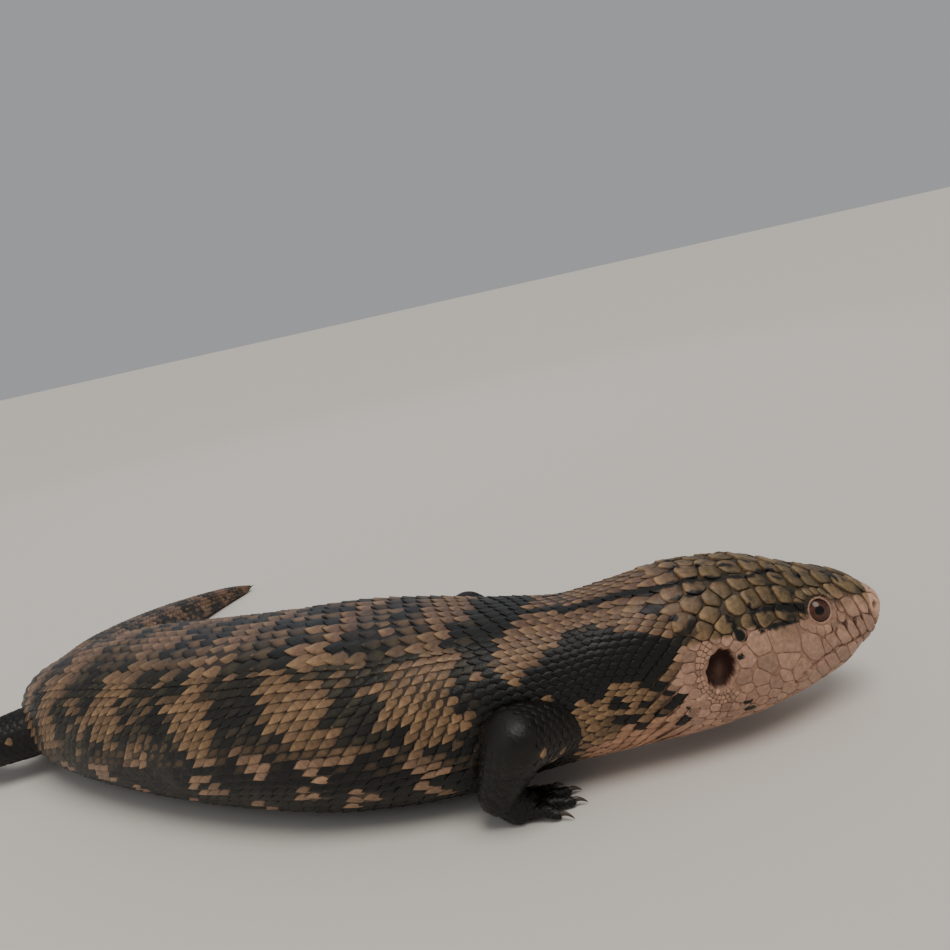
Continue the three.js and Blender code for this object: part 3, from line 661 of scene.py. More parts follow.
def markings(station, arc, blotchy):
    """All marking shares at places on the body; blotchy is one random number for each place or scale."""
    station = np.asarray(station, float)
    arc = np.asarray(arc, float)
    fold = np.abs(arc)
    # How far a place is on the trunk, behind the neck.
    behind = step(96, 104, station)
    ragged = 0.45 + 0.35 * step(24, 34, fold) * behind
    loose = waves(station / 3.6, arc / 3.6, 11) * 0.8 + blotchy * ragged
    trunk = band_pale(station, arc, loose)
    neck = neck_pale(station, arc, loose * 0.6)
    pale = step(-0.12, 0.12, np.where(station > 96.5, trunk, neck))
    dark = np.where(station < 90, dark_marks(station, arc, loose * 0.5), 0)
    pale = pale * (1 - dark)
    face, nose, crown = face_marks(station, fold, loose)
    under = step(38.5, 42, fold - 0.3 * (station - 66) * (station > 72))
    under = under * step(81, 78, station) * step(56, 66, station)
    grey = step(50, 26, fold) * 0.75 + step(52, 60, fold) * 0.8
    grey = grey * np.clip(0.75 + 0.5 * waves(station / 9, arc / 9, 5), 0, 1) * step(96, 112, station)
    fleck = step(0.9, 1.3, blotchy + 0.9 * waves(station / 2.5, arc / 2.5, 31))
    fleck = fleck * step(97, 106, station) * step(46, 36, fold)
    # The pale scales low on the flank are the lightest.
    nose = np.maximum(nose, 0.28 * pale * step(42, 50, fold) * behind)
    return {
        "pale": np.maximum(pale, 0.6 * fleck * step(6, 14, fold)),
        "face": face * (1 - dark),
        "nose": nose,
        "salmon": under * (1 - dark),
        "crown": crown * (1 - dark),
        "grey": grey,
        # The share of the painted blue sheen on the dark scales of the back.
        "back": step(24, 8, fold) * step(90, 120, station),
        "pink": np.clip(step(34, 6, fold) * 0.9 + 0.2 * blotchy, 0, 1),
        "spot": np.clip(0.5 + 0.55 * blotchy, 0, 1) * step(52, 42, fold) * step(92, 104, station),
        "ringed": np.maximum(step(24, 8, fold), step(39, 45, fold)) * step(92, 110, station),
        "dark": dark,
        "hollow": np.zeros(np.shape(station)),
    }


# Bake map: the trunk in one strip, each leg in a strip of its own above it.

# Half the size of the patch that a scale takes.
PATCH = 0.0015


def trunk_uv(station, arc):
    """The place of the trunk's skin on the bake map."""
    return np.stack([0.01 + 0.98 * station / BODY_LENGTH, 0.31 + 0.29 * arc / 100], -1)


def limb_uv(index, along, turn):
    """The same for a leg, by the part of the way along it and the turn round it."""
    return np.stack([0.02 + 0.96 * along, 0.655 + 0.085 * index + 0.07 * turn / math.tau], -1)


# Faces.

def tube_quads(rings, count):
    """Faces between rings of this many points each."""
    here = np.arange(count)
    after = (here + 1) % count
    first = np.arange(rings - 1)[:, None] * count
    following = first + count
    return np.stack([first + here, following + here, following + after, first + after], -1).reshape(-1, 4)


def ring_faces(rings, count):
    """Faces of a closed form: rings of points, then one that closes the last ring and one for the first."""
    here = np.arange(count)
    after = (here + 1) % count
    last = (rings - 1) * count
    top = np.full(count, rings * count)
    ends = [np.stack([last + here, last + after, top], -1), np.stack([after, here, top + 1], -1)]
    return tube_quads(rings, count)[:, [0, 3, 2, 1]], np.concatenate(ends)


# Scales.

# Right half of a scale's outline from its rear tip to its front: back along the row in row lengths,
# and across in row widths.
SCALE_SIDE = [
    (0.70, 0.0), (0.49, 0.19), (0.21, 0.42), (-0.10, 0.53), (-0.46, 0.44), (-0.68, 0.20), (-0.72, 0.0),
]
SCALE_OUTLINE = np.array(SCALE_SIDE + [(x, -y) for x, y in SCALE_SIDE[-2:0:-1]])
SCALE_TIP, SCALE_FRONT, SCALE_HALF = 0.7, 0.72, 0.53
# Rings of a scale from its root to the middle: part of the outline, and height at its front and rear edge.
# Heights are parts of the edge height above the skin, or of the root depth below it.
SCALE_RINGS = [
    (0.90, -1.0, -0.7), (1.00, -0.8, 0.42), (0.975, -0.7, 0.90), (0.84, -0.5, 1.0), (0.48, -0.1, 0.86),
]
# Scales end this far over the floor.
FLOOR_GAP = 0.02


def scale_template(count):
    """One scale with this many points round it: its points, their nearness to the rim, and its faces."""
    outline = SCALE_OUTLINE[:: len(SCALE_OUTLINE) // count]
    span = outline[:, 0].max() - outline[:, 0].min()
    points = []
    rims = []
    for shrink, front, rear in SCALE_RINGS:
        ring = outline * shrink
        along = (ring[:, 0] - outline[:, 0].min()) / span
        points.append(np.column_stack([ring, front + (rear - front) * along]))
        rims.append(np.full(count, shrink**3))
    # The middle of a scale is lower than its rear edge, and its root is closed in the skin.
    points.append([[0, 0, 0.52], [0, 0, -0.9]])
    rims.append([0.0, 1.0])
    return np.concatenate(points), np.concatenate(rims), *ring_faces(len(SCALE_RINGS), count)


def spread_faces(faces, copies, points_each):
    """The same faces for each of many copies of a set of points."""
    return (faces[None] + (np.arange(copies) * points_each)[:, None, None]).reshape(-1, faces.shape[1])


def add_scales(name, slot, points, places, marks, shades, template, material):
    """Makes one piece of many scales; places are those of their roots on the bake map."""
    shape, rim, quads, triangles = template
    count = len(places)
    each = len(shape)
    attributes = {key: np.repeat(marks[key], each) for key in MARK_NAMES}
    attributes["rim"] = np.tile(rim, count)
    attributes["along"] = np.tile(shape[:, 0] / SCALE_TIP, count)
    attributes["shade"] = np.repeat(shades, each)
    patch = np.stack([shape[:, 0] / SCALE_FRONT, shape[:, 1] / SCALE_HALF], -1) * PATCH
    # Each ring keeps a place of its own inside the patch.
    ring = np.arange(each) // (each // len(SCALE_RINGS))
    patch = patch * (1 - 0.04 * ring)[:, None]
    made = new_object(
        name, points, spread_faces(quads, count, each), spread_faces(triangles, count, each),
        material, attributes, (places[:, None] + patch[None]).reshape(-1, 2),
    )
    add_piece(made, slot)


# Sizes of the scales: pitch along the rows, and distance between rows.
# Broad plates lie on the back, narrow ones on the flanks and middling ones on the belly.
SCALE_SIZES = np.array([
    # station, back pitch, back width, flank pitch, flank width, belly pitch, belly width
    [54, 4.1, 3.4, 2.2, 2.0, 2.7, 2.4],
    [60, 3.7, 3.1, 2.1, 1.9, 2.6, 2.3],
    [66, 2.7, 2.4, 1.9, 1.7, 2.4, 2.2],
    [74, 2.4, 2.2, 1.8, 1.6, 2.4, 2.2],
    [82, 2.6, 2.4, 1.9, 1.7, 2.5, 2.3],
    [90, 3.0, 2.7, 2.2, 1.8, 2.8, 2.5],
    [98, 3.6, 3.1, 2.6, 2.0, 3.1, 2.7],
    [108, 4.1, 3.5, 2.9, 2.1, 3.4, 2.9],
    [120, 4.7, 4.1, 3.2, 2.25, 3.7, 3.1],
    [140, 5.0, 4.4, 3.4, 2.4, 3.9, 3.3],
    [180, 5.1, 4.5, 3.6, 2.4, 3.9, 3.3],
    [220, 5.0, 4.3, 3.6, 2.4, 3.8, 3.2],
    [260, 4.6, 3.7, 3.5, 2.6, 3.7, 3.1],
    [290, 4.2, 3.2, 3.5, 2.8, 3.6, 3.0],
    [330, 3.7, 2.8, 3.4, 2.8, 3.4, 2.8],
    [380, 3.0, 2.2, 3.0, 2.3, 3.0, 2.3],
    [420, 2.2, 1.5, 2.2, 1.6, 2.2, 1.6],
    [440, 1.7, 1.1, 1.7, 1.2, 1.7, 1.2],
])
# Columns of the pitches; the distance between rows stands in the next one.
BACK, FLANK, BELLY = 1, 3, 5
BACK_ROWS = 5
FLANK_ROWS = 15
LAST_ROW = 60
FIRST_RING = 56.0
# How far scales are turned downwards, in degrees by the distance round, and how much more in the folds
# behind the shoulder.
FLANK_TURN = ([14, 20, 30, 38, 46, 56], [0, 16, 34, 38, 26, 8])
FOLD_TURN = ([12, 20, 30, 40, 48], [0, 16, 22, 16, 4])
# The ear's distance round, and how far the trunk's scales keep from its middle.
EAR_ARC = 31.9
EAR_SPACE = 7.4
# Pieces of the trunk's scales, each from one station to another.
TRUNK_PARTS = [("neck_scales", 56, 100), ("flank_scales", 100, 190), ("hip_scales", 190, 284)]
TAIL_PART = ("tail_scales", 284, 436)


def size_at(station, column):
    """A size of the scales at a station."""
    return np.interp(station, SCALE_SIZES[:, 0], SCALE_SIZES[:, column])


def row_arc(station, row):
    """Distance round from the back of a row of scales."""
    back = np.minimum(row, BACK_ROWS) * size_at(station, BACK + 1)
    flank = np.clip(row - BACK_ROWS, 0, FLANK_ROWS) * size_at(station, FLANK + 1)
    belly = np.maximum(row - BACK_ROWS - FLANK_ROWS, 0) * size_at(station, BELLY + 1)
    return back + flank + belly


def trunk_lattice(first, last):
    """Staggered places of the scales on both sides, with their pitch, row width and column."""
    belly_row = BACK_ROWS + FLANK_ROWS + 1
    parts = [(BACK, 0, BACK_ROWS), (FLANK, BACK_ROWS + 1, belly_row - 1), (BELLY, belly_row, LAST_ROW)]
    found = []
    for column, first_row, last_row in parts:
        station = FIRST_RING
        ring = 0
        while station < last:
            pitch = float(size_at(station, column))
            if station >= first:
                width = float(size_at(station, column + 1))
                rows = np.arange(first_row, last_row + 1)
                rows = rows[(rows + ring) % 2 == 0]
                arcs = row_arc(station, rows)
                inside = arcs < float(half_round(station))
                # The row on the middle of the back is there once.
                for side, kept in ((1, arcs[inside]), (-1, arcs[inside & (rows > 0)])):
                    same = [np.full(len(kept), float(value)) for value in (station, pitch, width, column)]
                    found.append(np.stack([same[0], side * kept, *same[1:]]))
            station += pitch / 2
            ring += 1
    return np.concatenate(found, 1)


def scale_turn(station, arc):
    """How far scales are turned downwards, in radians."""
    fold = np.abs(arc)
    amount = np.interp(fold, *FLANK_TURN) * step(84, 96, station) * step(270, 230, station)
    shoulder = np.exp(-(((station - 109) / 13) ** 2)) * np.interp(fold, *FOLD_TURN)
    return np.radians(amount + shoulder) * np.sign(arc)


def off_axis(points, a, b):
    """Distances of points from the line between two others, and the part of the way along it."""
    axis = b - a
    part = np.clip(((points - a) @ axis) / (axis @ axis), 0, 1)
    return np.linalg.norm(points - (a + part[:, None] * axis), axis=1), part


def limb_joints(plan):
    """The joints of a leg and its palm, each with its radius."""
    return np.array(plan["joints"] + [plan["palm"] + [plan["palm_radius"]]], float)


def clear_of_limbs(points):
    """True where a place isn't well inside the flesh of a leg."""
    margin = 1.2
    clear = np.ones(len(points), bool)
    for plan in LIMBS.values():
        joints = np.array(plan["joints"], float)
        for a, b in zip(joints[:-1], joints[1:]):
            away, part = off_axis(points, a[:3], b[:3])
            clear &= away > a[3] + (b[3] - a[3]) * part - margin
    return clear


def build_trunk_scales(name, first, last, material):
    """The overlapping scales between two stations, each with its root in the skin."""
    size = sizes()
    random = np.random.default_rng(SEED + int(first))
    station, arc, row_length, row_width, band = trunk_lattice(first, last)
    station = station + random.normal(0, 0.022, len(station)) * row_length
    arc = arc + random.normal(0, 0.022, len(arc)) * row_width
    keep = clear_of_limbs(skin_point(station, arc, np.zeros(len(station))))
    keep &= np.hypot(station - EAR["station"], np.abs(arc) - EAR_ARC) > EAR_SPACE
    station, arc, row_length, row_width, band = [v[keep] for v in (station, arc, row_length, row_width, band)]
    count = len(station)
    template = scale_template(12)
    along, across, level = template[0].T[:, None]
    on_flank = band == FLANK
    grow = 1 + random.normal(0, 0.035, (count, 1))
    # Scales reach over their neighbours; those of the flank behind the shoulder are narrow and stand apart.
    narrow = on_flank * np.interp(station, [96, 104, 126, 250, 290], [0, 1, 0.6, 0.5, 0])
    x = along * (row_length * (1.12 + 0.10 * narrow))[:, None] * grow
    y = across * (row_width * (1.24 - 0.30 * narrow))[:, None] * (1 + random.normal(0, 0.04, (count, 1)))
    turn = (scale_turn(station, arc) + random.normal(0, 0.05, count))[:, None]
    x, y = x * np.cos(turn) - y * np.sin(turn), x * np.sin(turn) + y * np.cos(turn)
    # Plates of the back are the thickest for their size; those of the flanks stand up as separate lumps.
    thick = np.clip(row_width / 4.2 * np.where(on_flank, 1.45, 1.0), 0.36, 1.0)[:, None]
    edge = size["scale_edge"] * thick * (1 + random.normal(0, 0.09, (count, 1)))
    arch = (across / SCALE_HALF) ** 2 * np.where(on_flank, 0.62, 0.28)[:, None]
    z = np.where(level > 0, (level - arch * level) * edge, level * size["scale_root"] * thick)
    points = skin_point(station[:, None] + x, arc[:, None] + y, z).reshape(-1, 3)
    points[:, 2] = np.maximum(points[:, 2], FLOOR_GAP)
    marks = markings(station, arc, random.normal(0, 1, count))
    shades = random.normal(0, 1, count)
    add_scales(name, "body_skin", points, trunk_uv(station, arc), marks, shades, template, material)


# Head shields.

# Shields of one side: station, distance round and radius.
# The border of two shields lies where the distances to both, less their radii, balance.
SHIELDS = {
    "snout": [
        (4.6, 9.6, 2.6), (7.0, 5.4, 2.4), (10.7, 7.6, 2.7), (8.8, 12.7, 1.9), (12.5, 14.9, 2.2),
        (15.2, 11.2, 2.0), (15.6, 15.6, 1.1), (16.3, 18.2, 1.2),
    ],
    "over the eye": [
        (16.4, 6.8, 2.4), (21.0, 9.2, 2.3), (25.6, 10.0, 2.3), (30.2, 10.6, 2.2), (20.2, 4.9, 2.2),
        (26.0, 5.0, 2.2), (18.2, 13.4, 1.0), (20.1, 12.9, 1.0), (22.1, 13.1, 1.0), (24.1, 13.7, 1.0),
        (26.3, 15.0, 1.2), (27.6, 17.6, 1.4), (27.6, 20.1, 1.0),
    ],
    "upper lip": [
        (7.2, 16.0, 1.8), (10.1, 18.9, 2.0), (13.1, 21.0, 2.2), (16.5, 22.9, 2.4), (19.8, 25.0, 2.2),
        (22.3, 26.9, 1.8),
    ],
    "lower lip": [
        (6.2, 20.6, 2.0), (9.6, 24.2, 2.1), (13.0, 26.6, 2.2), (16.8, 28.6, 2.3), (20.2, 30.9, 2.3),
        (23.0, 33.4, 2.2), (25.6, 36.4, 2.2), (28.4, 39.4, 2.2),
    ],
    "under the eye": [
        (19.2, 21.0, 1.3), (21.4, 22.6, 1.1), (23.6, 23.2, 1.1), (25.8, 23.1, 1.1), (28.0, 22.4, 1.2),
    ],
    "cheek": [
        (26.0, 27.4, 3.2), (34.7, 26.6, 4.4), (33.9, 31.7, 3.0), (30.4, 34.4, 3.0), (41.4, 28.2, 3.0),
        (39.9, 32.8, 2.4), (42.0, 36.4, 2.1), (37.8, 38.2, 1.7), (33.6, 39.8, 2.2), (45.4, 30.8, 2.4),
        (46.2, 35.6, 1.9),
    ],
    "temple": [
        (31.6, 15.6, 2.2), (36.0, 16.2, 2.3), (40.4, 17.4, 2.3), (44.6, 18.6, 2.2), (33.0, 20.9, 2.2),
        (38.0, 22.2, 2.4), (42.8, 22.9, 1.7), (46.0, 25.4, 1.5),
    ],
    "nape": [
        (48.7, 22.8, 2.1), (51.2, 19.5, 2.2), (46.7, 14.4, 2.2), (49.6, 16.0, 2.2), (54.0, 16.2, 2.3),
        (52.0, 12.0, 2.3), (57.0, 12.0, 2.3), (41.6, 12.8, 2.3), (36.4, 11.8, 2.2), (46.3, 7.9, 2.4),
        (51.3, 6.4, 2.5), (56.2, 7.0, 2.4), (45.2, 2.6, 2.4), (40.6, 6.6, 2.6), (35.4, 6.6, 2.6),
    ],
}
MIDDLE_SHIELDS = [(8.6, 0, 3.0), (15.6, 0, 3.6), (25.0, 0, 4.0), (33.4, 0, 3.6), (39.6, 0, 2.6)]
HEAD_END = 62.0
# Radius of the two plates at the tip of the snout.
CAP = 3.4
# The angle of the lips at the tip, round from the level line.
CAP_LIPS = -30.0
# Plates farther round than this belong to the face and lie flat and close together.
FACE_ARC = 21


def filling_radius(station, arc):
    """Radius of the plainer scales between the placed shields: broad on the crown, small behind the ear."""
    if arc < 25:
        return 2.25
    return 1.25 if station > 45 else 1.7


def ear_grains():
    """Rings of fine grains behind and below the ear; its front edge is smooth."""
    middle = float(surface_distance(EAR["station"]))
    arc = arc_at(EAR["station"], EAR["angle"])
    grains = []
    for ring, count in ((1.13, 27), (1.36, 31), (1.62, 33)):
        for i in range(count):
            turn = (i + 0.5 * (ring > 1.2)) / count * math.tau
            behind = math.cos(turn) > (0.25 if math.sin(turn) < 0 else -0.1) or math.sin(turn) > 0.75
            if behind and math.sin(turn) > -0.9:
                place = (middle + 3.2 * ring * math.cos(turn), arc + 5.1 * ring * math.sin(turn))
                grains.append((*place, 0.46, 1.7))
    return grains


def filled_seeds():
    """All shields as distance over the surface, distance round, radius and reach; reach 0 is a hole."""
    random = np.random.default_rng(SEED + 1)
    side = [(float(surface_distance(s)), a, r, 1.3 if s > 8 else 1.9)
            for group in SHIELDS.values() for s, a, r in group]
    for hole, radius in ((EYE, 2.8), (EAR, 4.2)):
        place = (float(surface_distance(hole["station"])), arc_at(hole["station"], hole["angle"]))
        side.append((*place, radius, 0))
    side += ear_grains()
    middle = [(float(surface_distance(s)), float(a), r, 1.3) for s, a, r in MIDDLE_SHIELDS]
    placed = np.zeros((900, 3))
    used = len(side) + len(middle)
    placed[:used] = [seed[:3] for seed in side + middle]
    scan = 0.6
    for row, distance in enumerate(np.arange(CAP + 0.8, HEAD_END, scan)):
        station = float(station_of(distance))
        for arc in np.arange(scan * (row % 2), float(half_round(station)), scan):
            radius = filling_radius(station, arc)
            here = (distance + random.normal(0, 0.12), max(arc + random.normal(0, 0.12), 0))
            away = np.hypot(placed[:used, 0] - here[0], placed[:used, 1] - here[1]) - placed[:used, 2]
            if (away > radius * 0.8).all():
                placed[used] = (*here, radius)
                used += 1
                (middle if here[1] < 1.2 else side).append((*here, radius, 1.4))
    return middle + side + [(distance, -arc, radius, reach) for distance, arc, radius, reach in side]


def nearer_part(outline, seed, radius, other, other_radius):
    """The part of a convex outline on one shield's side of its border with another."""
    toward = seed - other
    apart = toward @ toward
    middle = seed - toward * (apart + radius**2 - other_radius**2) / (2 * apart)
    side = (outline - middle) @ toward
    kept = []
    for i in range(len(outline)):
        j = (i + 1) % len(outline)
        if side[i] >= 0:
            kept.append(outline[i])
        if side[i] * side[j] < 0:
            t = side[i] / (side[i] - side[j])
            kept.append(outline[i] + (outline[j] - outline[i]) * t)
    return np.array(kept)


def cell_outlines(seeds):
    """Outlines of the shields, each cut back along its borders with its neighbours."""
    table = np.array(seeds)
    places = table[:, :2]
    cells = []
    for here, (_, _, radius, reach) in zip(places, table):
        if reach == 0:
            continue
        turns = np.arange(8) / 8 * math.tau + math.pi / 8
        outline = here + np.stack([np.cos(turns), np.sin(turns)], -1) * radius * reach
        outline = np.clip(outline, [CAP, -60], [HEAD_END + 1.5, 60])
        away = np.hypot(*(places - here).T)
        for j in np.argsort(away)[1:34]:
            if len(outline) < 3:
                break
            outline = nearer_part(outline, here, radius, places[j], table[j, 2])
        if len(outline) >= 3 and np.ptp(outline, axis=0).min() > 0.35:
            cells.append((here, radius, outline))
    return cells


def rounded(outline, inset, spacing):
    """Shrinks a convex outline by a distance, rounds its corners and spaces its points evenly."""
    middle = outline.mean(0)
    away = np.linalg.norm(outline - middle, axis=1, keepdims=True)
    ring = middle + (outline - middle) * np.maximum(1 - inset / np.maximum(away, 0.01), 0.3)
    for _ in range(2):
        after = np.roll(ring, -1, 0)
        ring = np.stack([ring * 0.84 + after * 0.16, ring * 0.16 + after * 0.84], 1).reshape(-1, 2)
    closed = np.concatenate([ring, ring[:1]])
    lengths = np.concatenate([[0], np.cumsum(np.linalg.norm(np.diff(closed, axis=0), axis=1))])
    count = max(10, int(lengths[-1] / spacing))
    marks = np.arange(count) / count * lengths[-1]
    return np.stack([np.interp(marks, lengths, closed[:, k]) for k in (0, 1)], -1)


# Rings of a shield: part of the outline and height in shield heights.
SHIELD_RINGS = [
    (0.985, -1.0), (1.0, -0.15), (0.99, 0.38), (0.962, 0.68), (0.91, 0.87), (0.78, 0.98), (0.5, 1.03),
]
# Plates about the nostril have more rings, so that its edge is round.
NOSTRIL_RINGS = sorted(
    SHIELD_RINGS + [(1 - 0.06 * k, 1.0) for k in range(6, 16)],
    key=lambda ring: (-ring[0] if ring[1] > 0.4 else -2, ring[1]),
)


def turned(feature, side):
    """The angle of a feature of the head; side is 1 on the right and -1 on the left."""
    return feature["angle"] if side > 0 else 180 - feature["angle"]


def feature_axes(feature, side):
    """Middle of an ear or nostril, and directions outwards, along and up across it."""
    station = np.array(float(feature["station"]))
    angle = np.array(float(turned(feature, side)))
    centre = bare_point(station, angle)
    out = bare_normal(station, angle)
    along = unit(np.cross([0, 0, 1.0], out))
    return centre, out, along, np.cross(out, along)


def eye_axes(side):
    """Middle of the lids, and directions outwards, along and up across them."""
    station = np.array(EYE["station"])
    forward, right, above = facing(station)
    lean, rise = math.radians(EYE["lean"]), math.radians(EYE["rise"])
    level = right * math.cos(lean) * side + forward * math.sin(lean)
    out = unit(level * math.cos(rise) + above * math.sin(rise))
    centre = bare_point(station, np.array(turned(EYE, side)))
    along = unit(np.cross([0, 0, 1.0], out))
    return centre + out * EYE["proud"], out, along, np.cross(out, along)


# A place that is far from a feature gets this part of its half size.
FAR = 9.0


def eye_places(points, side):
    """Places about an eye: part of the opening's half size, share of its height, and height over the lids."""
    centre, out, along, up = eye_axes(side)
    offset = points - centre
    height = offset @ out
    across = (offset @ along) / EYE["half"][0]
    over = (offset @ up) / EYE["half"][1]
    return np.where(np.abs(height) < 5, np.hypot(across, over), FAR), over, height


# Heights of the skin at parts of the half size of a feature: about the lids, and in the ear and nostril.
LID_PROFILE = (
    [0, 0.86, 0.97, 1.05, 1.12, 1.2, 1.29, 1.42, 1.6, 2.0],
    [-2.4, -1.9, -0.5, 0.08, 0.15, 0.06, -0.16, 0.10, 0.0, 0],
)
EAR_PROFILE = ([0, 0.55, 0.86, 0.97, 1.06, 1.3], [-1.0, -0.95, -0.75, -0.3, 0.03, 0])
NOSTRIL_PROFILE = ([0, 0.7, 1.0, 1.35, 2.0], [-1.4, -1.2, -0.3, 0.14, 0])


def eye_shift(points):
    """Moves the skin about each eye onto the rim of its lids."""
    moved = np.zeros_like(points)
    for side in (1, -1):
        r, over, height = eye_places(points, side)
        brow = 0.35 * np.exp(-(((r - 1.9) / 0.4) ** 2)) * step(0.1, 0.8, over)
        change = step(2.5, 1.35, r) * (np.interp(r, *LID_PROFILE) - height) + brow
        moved += change[:, None] * eye_axes(side)[1]
    return moved


def ear_places(points, side):
    """Places about an ear: part of the opening's half size, and distances along and up its tilted axes."""
    centre, out, along, up = feature_axes(EAR, side)
    tilt = math.radians(EAR["tilt"]) * side
    along, up = along * math.cos(tilt) + up * math.sin(tilt), up * math.cos(tilt) - along * math.sin(tilt)
    offset = points - centre
    across = (offset @ along) / EAR["half"][0]
    over = (offset @ up) / EAR["half"][1]
    plain = np.hypot(across, over)
    # The scales of the edge stand a little way into the opening as nine lobes.
    r = plain * (1 + 0.045 * np.sin(9 * np.arctan2(over, across)) * step(0.5, 0.9, plain))
    return np.where(np.abs(offset @ out) < 6, r, FAR), offset @ along, offset @ up


def ear_drum(across, over):
    """Share of the drum of the ear, which stands a little higher in the lower front of the cup."""
    return step(2.0, 0.2, np.hypot(across - 0.7, (over + 1.2) / 2.0))


def nostril_places(points, side):
    """Part of the half size of a nostril at each point."""
    centre, out, along, up = feature_axes(NOSTRIL, side)
    offset = points - centre
    r = np.hypot((offset @ along) / 1.45, (offset @ up) / 1.2) / NOSTRIL["radius"]
    return np.where(np.abs(offset @ out) < 3, r, FAR)


def mouth_gap(station, arc):
    """Distance from the line of the mouth, in mm; large beyond its corner."""
    gap = np.abs(np.abs(arc) - np.interp(station, MOUTH[:, 0], MOUTH[:, 1]))
    return gap + 0.8 * np.maximum(station - MOUTH[-1, 0], 0)


def head_relief(points, station, arc):
    """Height to add along the skin's normal for the ears, nostrils, lips and crown."""
    # The slit of the mouth is shallow at the front, and the lips swell a little beside it.
    gap = mouth_gap(station, arc)
    deep = 0.12 + 0.30 * step(2, 9, station)
    height = -deep * np.exp(-((gap / 0.32) ** 2))
    height += 0.22 * np.exp(-(((gap - 1.3) / 0.8) ** 2)) * step(2, 6, station)
    # The crown is domed behind the eyes.
    height += 0.7 * np.exp(-(((station - 36) / 8) ** 2)) * step(12, 3, np.abs(arc))
    for side in (1, -1):
        r, across, over = ear_places(points, side)
        height += np.interp(r, *EAR_PROFILE) * EAR["depth"]
        height += 0.6 * ear_drum(across, over) * step(0.95, 0.6, r)
        height += np.interp(nostril_places(points, side), *NOSTRIL_PROFILE)
    return height


def head_marks(points, station, arc, marks, rims=1.0):
    """Adds the marks of the lids, the painted shade of the ears, nostrils and mouth, and the lip's brown
    notches; rims keeps the notches between plates.
    """
    # Painted shade darkens the slit of the mouth.
    hollow = 0.45 * step(0.30, 0.10, mouth_gap(station, arc)) * (station > 2)
    for place, low in NOTCHES:
        # A notch is a narrow wedge running down from its wide top.
        down = np.abs(arc) - low
        wide = np.abs(station - place - 0.12 * down) - np.interp(down, [-0.9, 0, 2.6], [0.42, 0.30, 0.05])
        notch = step(0.2, -0.1, wide) * (np.abs(down - 0.75) < 1.65) * step(0.2, 0.7, rims)
        hollow = np.maximum(hollow, 0.75 * notch)
    for side in (1, -1):
        # The lids are pale, with a dark line round them.
        r, over, _ = eye_places(points, side)
        lid = step(1.24, 1.18, r)
        marks["face"] = np.maximum(marks["face"], lid)
        marks["nose"] = np.maximum(marks["nose"], 0.7 * lid)
        marks["dark"] = np.where(lid > 0.5, 0, marks["dark"])
        line = step(0.09, 0.02, np.abs(r - 1.29)) * (0.35 + 0.6 * step(-0.2, 0.5, over))
        marks["dark"] = np.maximum(marks["dark"], line)
        r, across, over = ear_places(points, side)
        drum = ear_drum(across, over) * step(0.9, 0.6, r)
        # Painted shade fills each ear, a little less over its drum, and each nostril.
        hollow = np.maximum(hollow, step(1.0, 0.95, r) * (1 - 0.18 * drum))
        hollow = np.maximum(hollow, 0.6 * step(1.25, 0.85, nostril_places(points, side)))
    marks["hollow"] = hollow


def shield_outlines():
    """Rounded outlines of all shields, with their middles and radii; the two at the tip have radius 0."""
    outlines = []
    for here, half, cell in cell_outlines(filled_seeds()):
        # Plates of the face lie close together; the rougher ones of the crown leave dark gaps.
        gap = 0.065 if abs(here[1]) > FACE_ARC or here[0] < 12 else 0.10
        outlines.append((here, half, rounded(cell, min(gap, 0.12 * half), 0.55 if half > 1.3 else 0.34)))
    return outlines + cap_outlines()


def shield_lift(here, half, radius, random):
    """Height of a shield in full heights, and how steeply it rises to the rear; the face has flat ones."""
    low = min(1.0, 0.3 + radius / 3.6)
    if abs(here[1]) > FACE_ARC and here[0] < 52:
        return low * (0.5 if here[0] < 28 else 0.36), 0.0
    if half > 1.3 and here[0] > 12:
        return low * (1 + 0.18 * random.normal()), 0.085
    return low, 0.0


def shield_points(outline, rings, radius, low, rear, tip):
    """Points of one shield: distance, arc, height, nearness to the rim, part along and place on the map."""
    middle = outline.mean(0)
    centre = round_tip(middle[None])[0] if tip else middle
    place = trunk_uv(station_of(centre[0]), centre[1])
    top = sizes()["shield_height"] * low
    wide = max(radius, 0.4)
    parts = []
    for shrink, height in rings:
        offset = (outline - middle) * shrink
        ring = round_tip(middle + offset) if tip else middle + offset
        back = np.zeros(len(ring)) if tip else ring[:, 0] - middle[0]
        lifted = height * (top if height > 0 else 0.5) + (rear if height > 0 else 0) * back
        patch = place + offset / wide * PATCH * 0.8 * (1 - 0.05 * (height > 0))
        parts.append(np.column_stack([ring, lifted, np.full(len(ring), shrink**6), back / wide, patch]))
    # One point closes the top and one the root in the skin.
    parts.append([[*centre, top * 1.05, 0, 0, *place], [*centre, -0.45, 1, 0, *place]])
    return np.concatenate(parts)


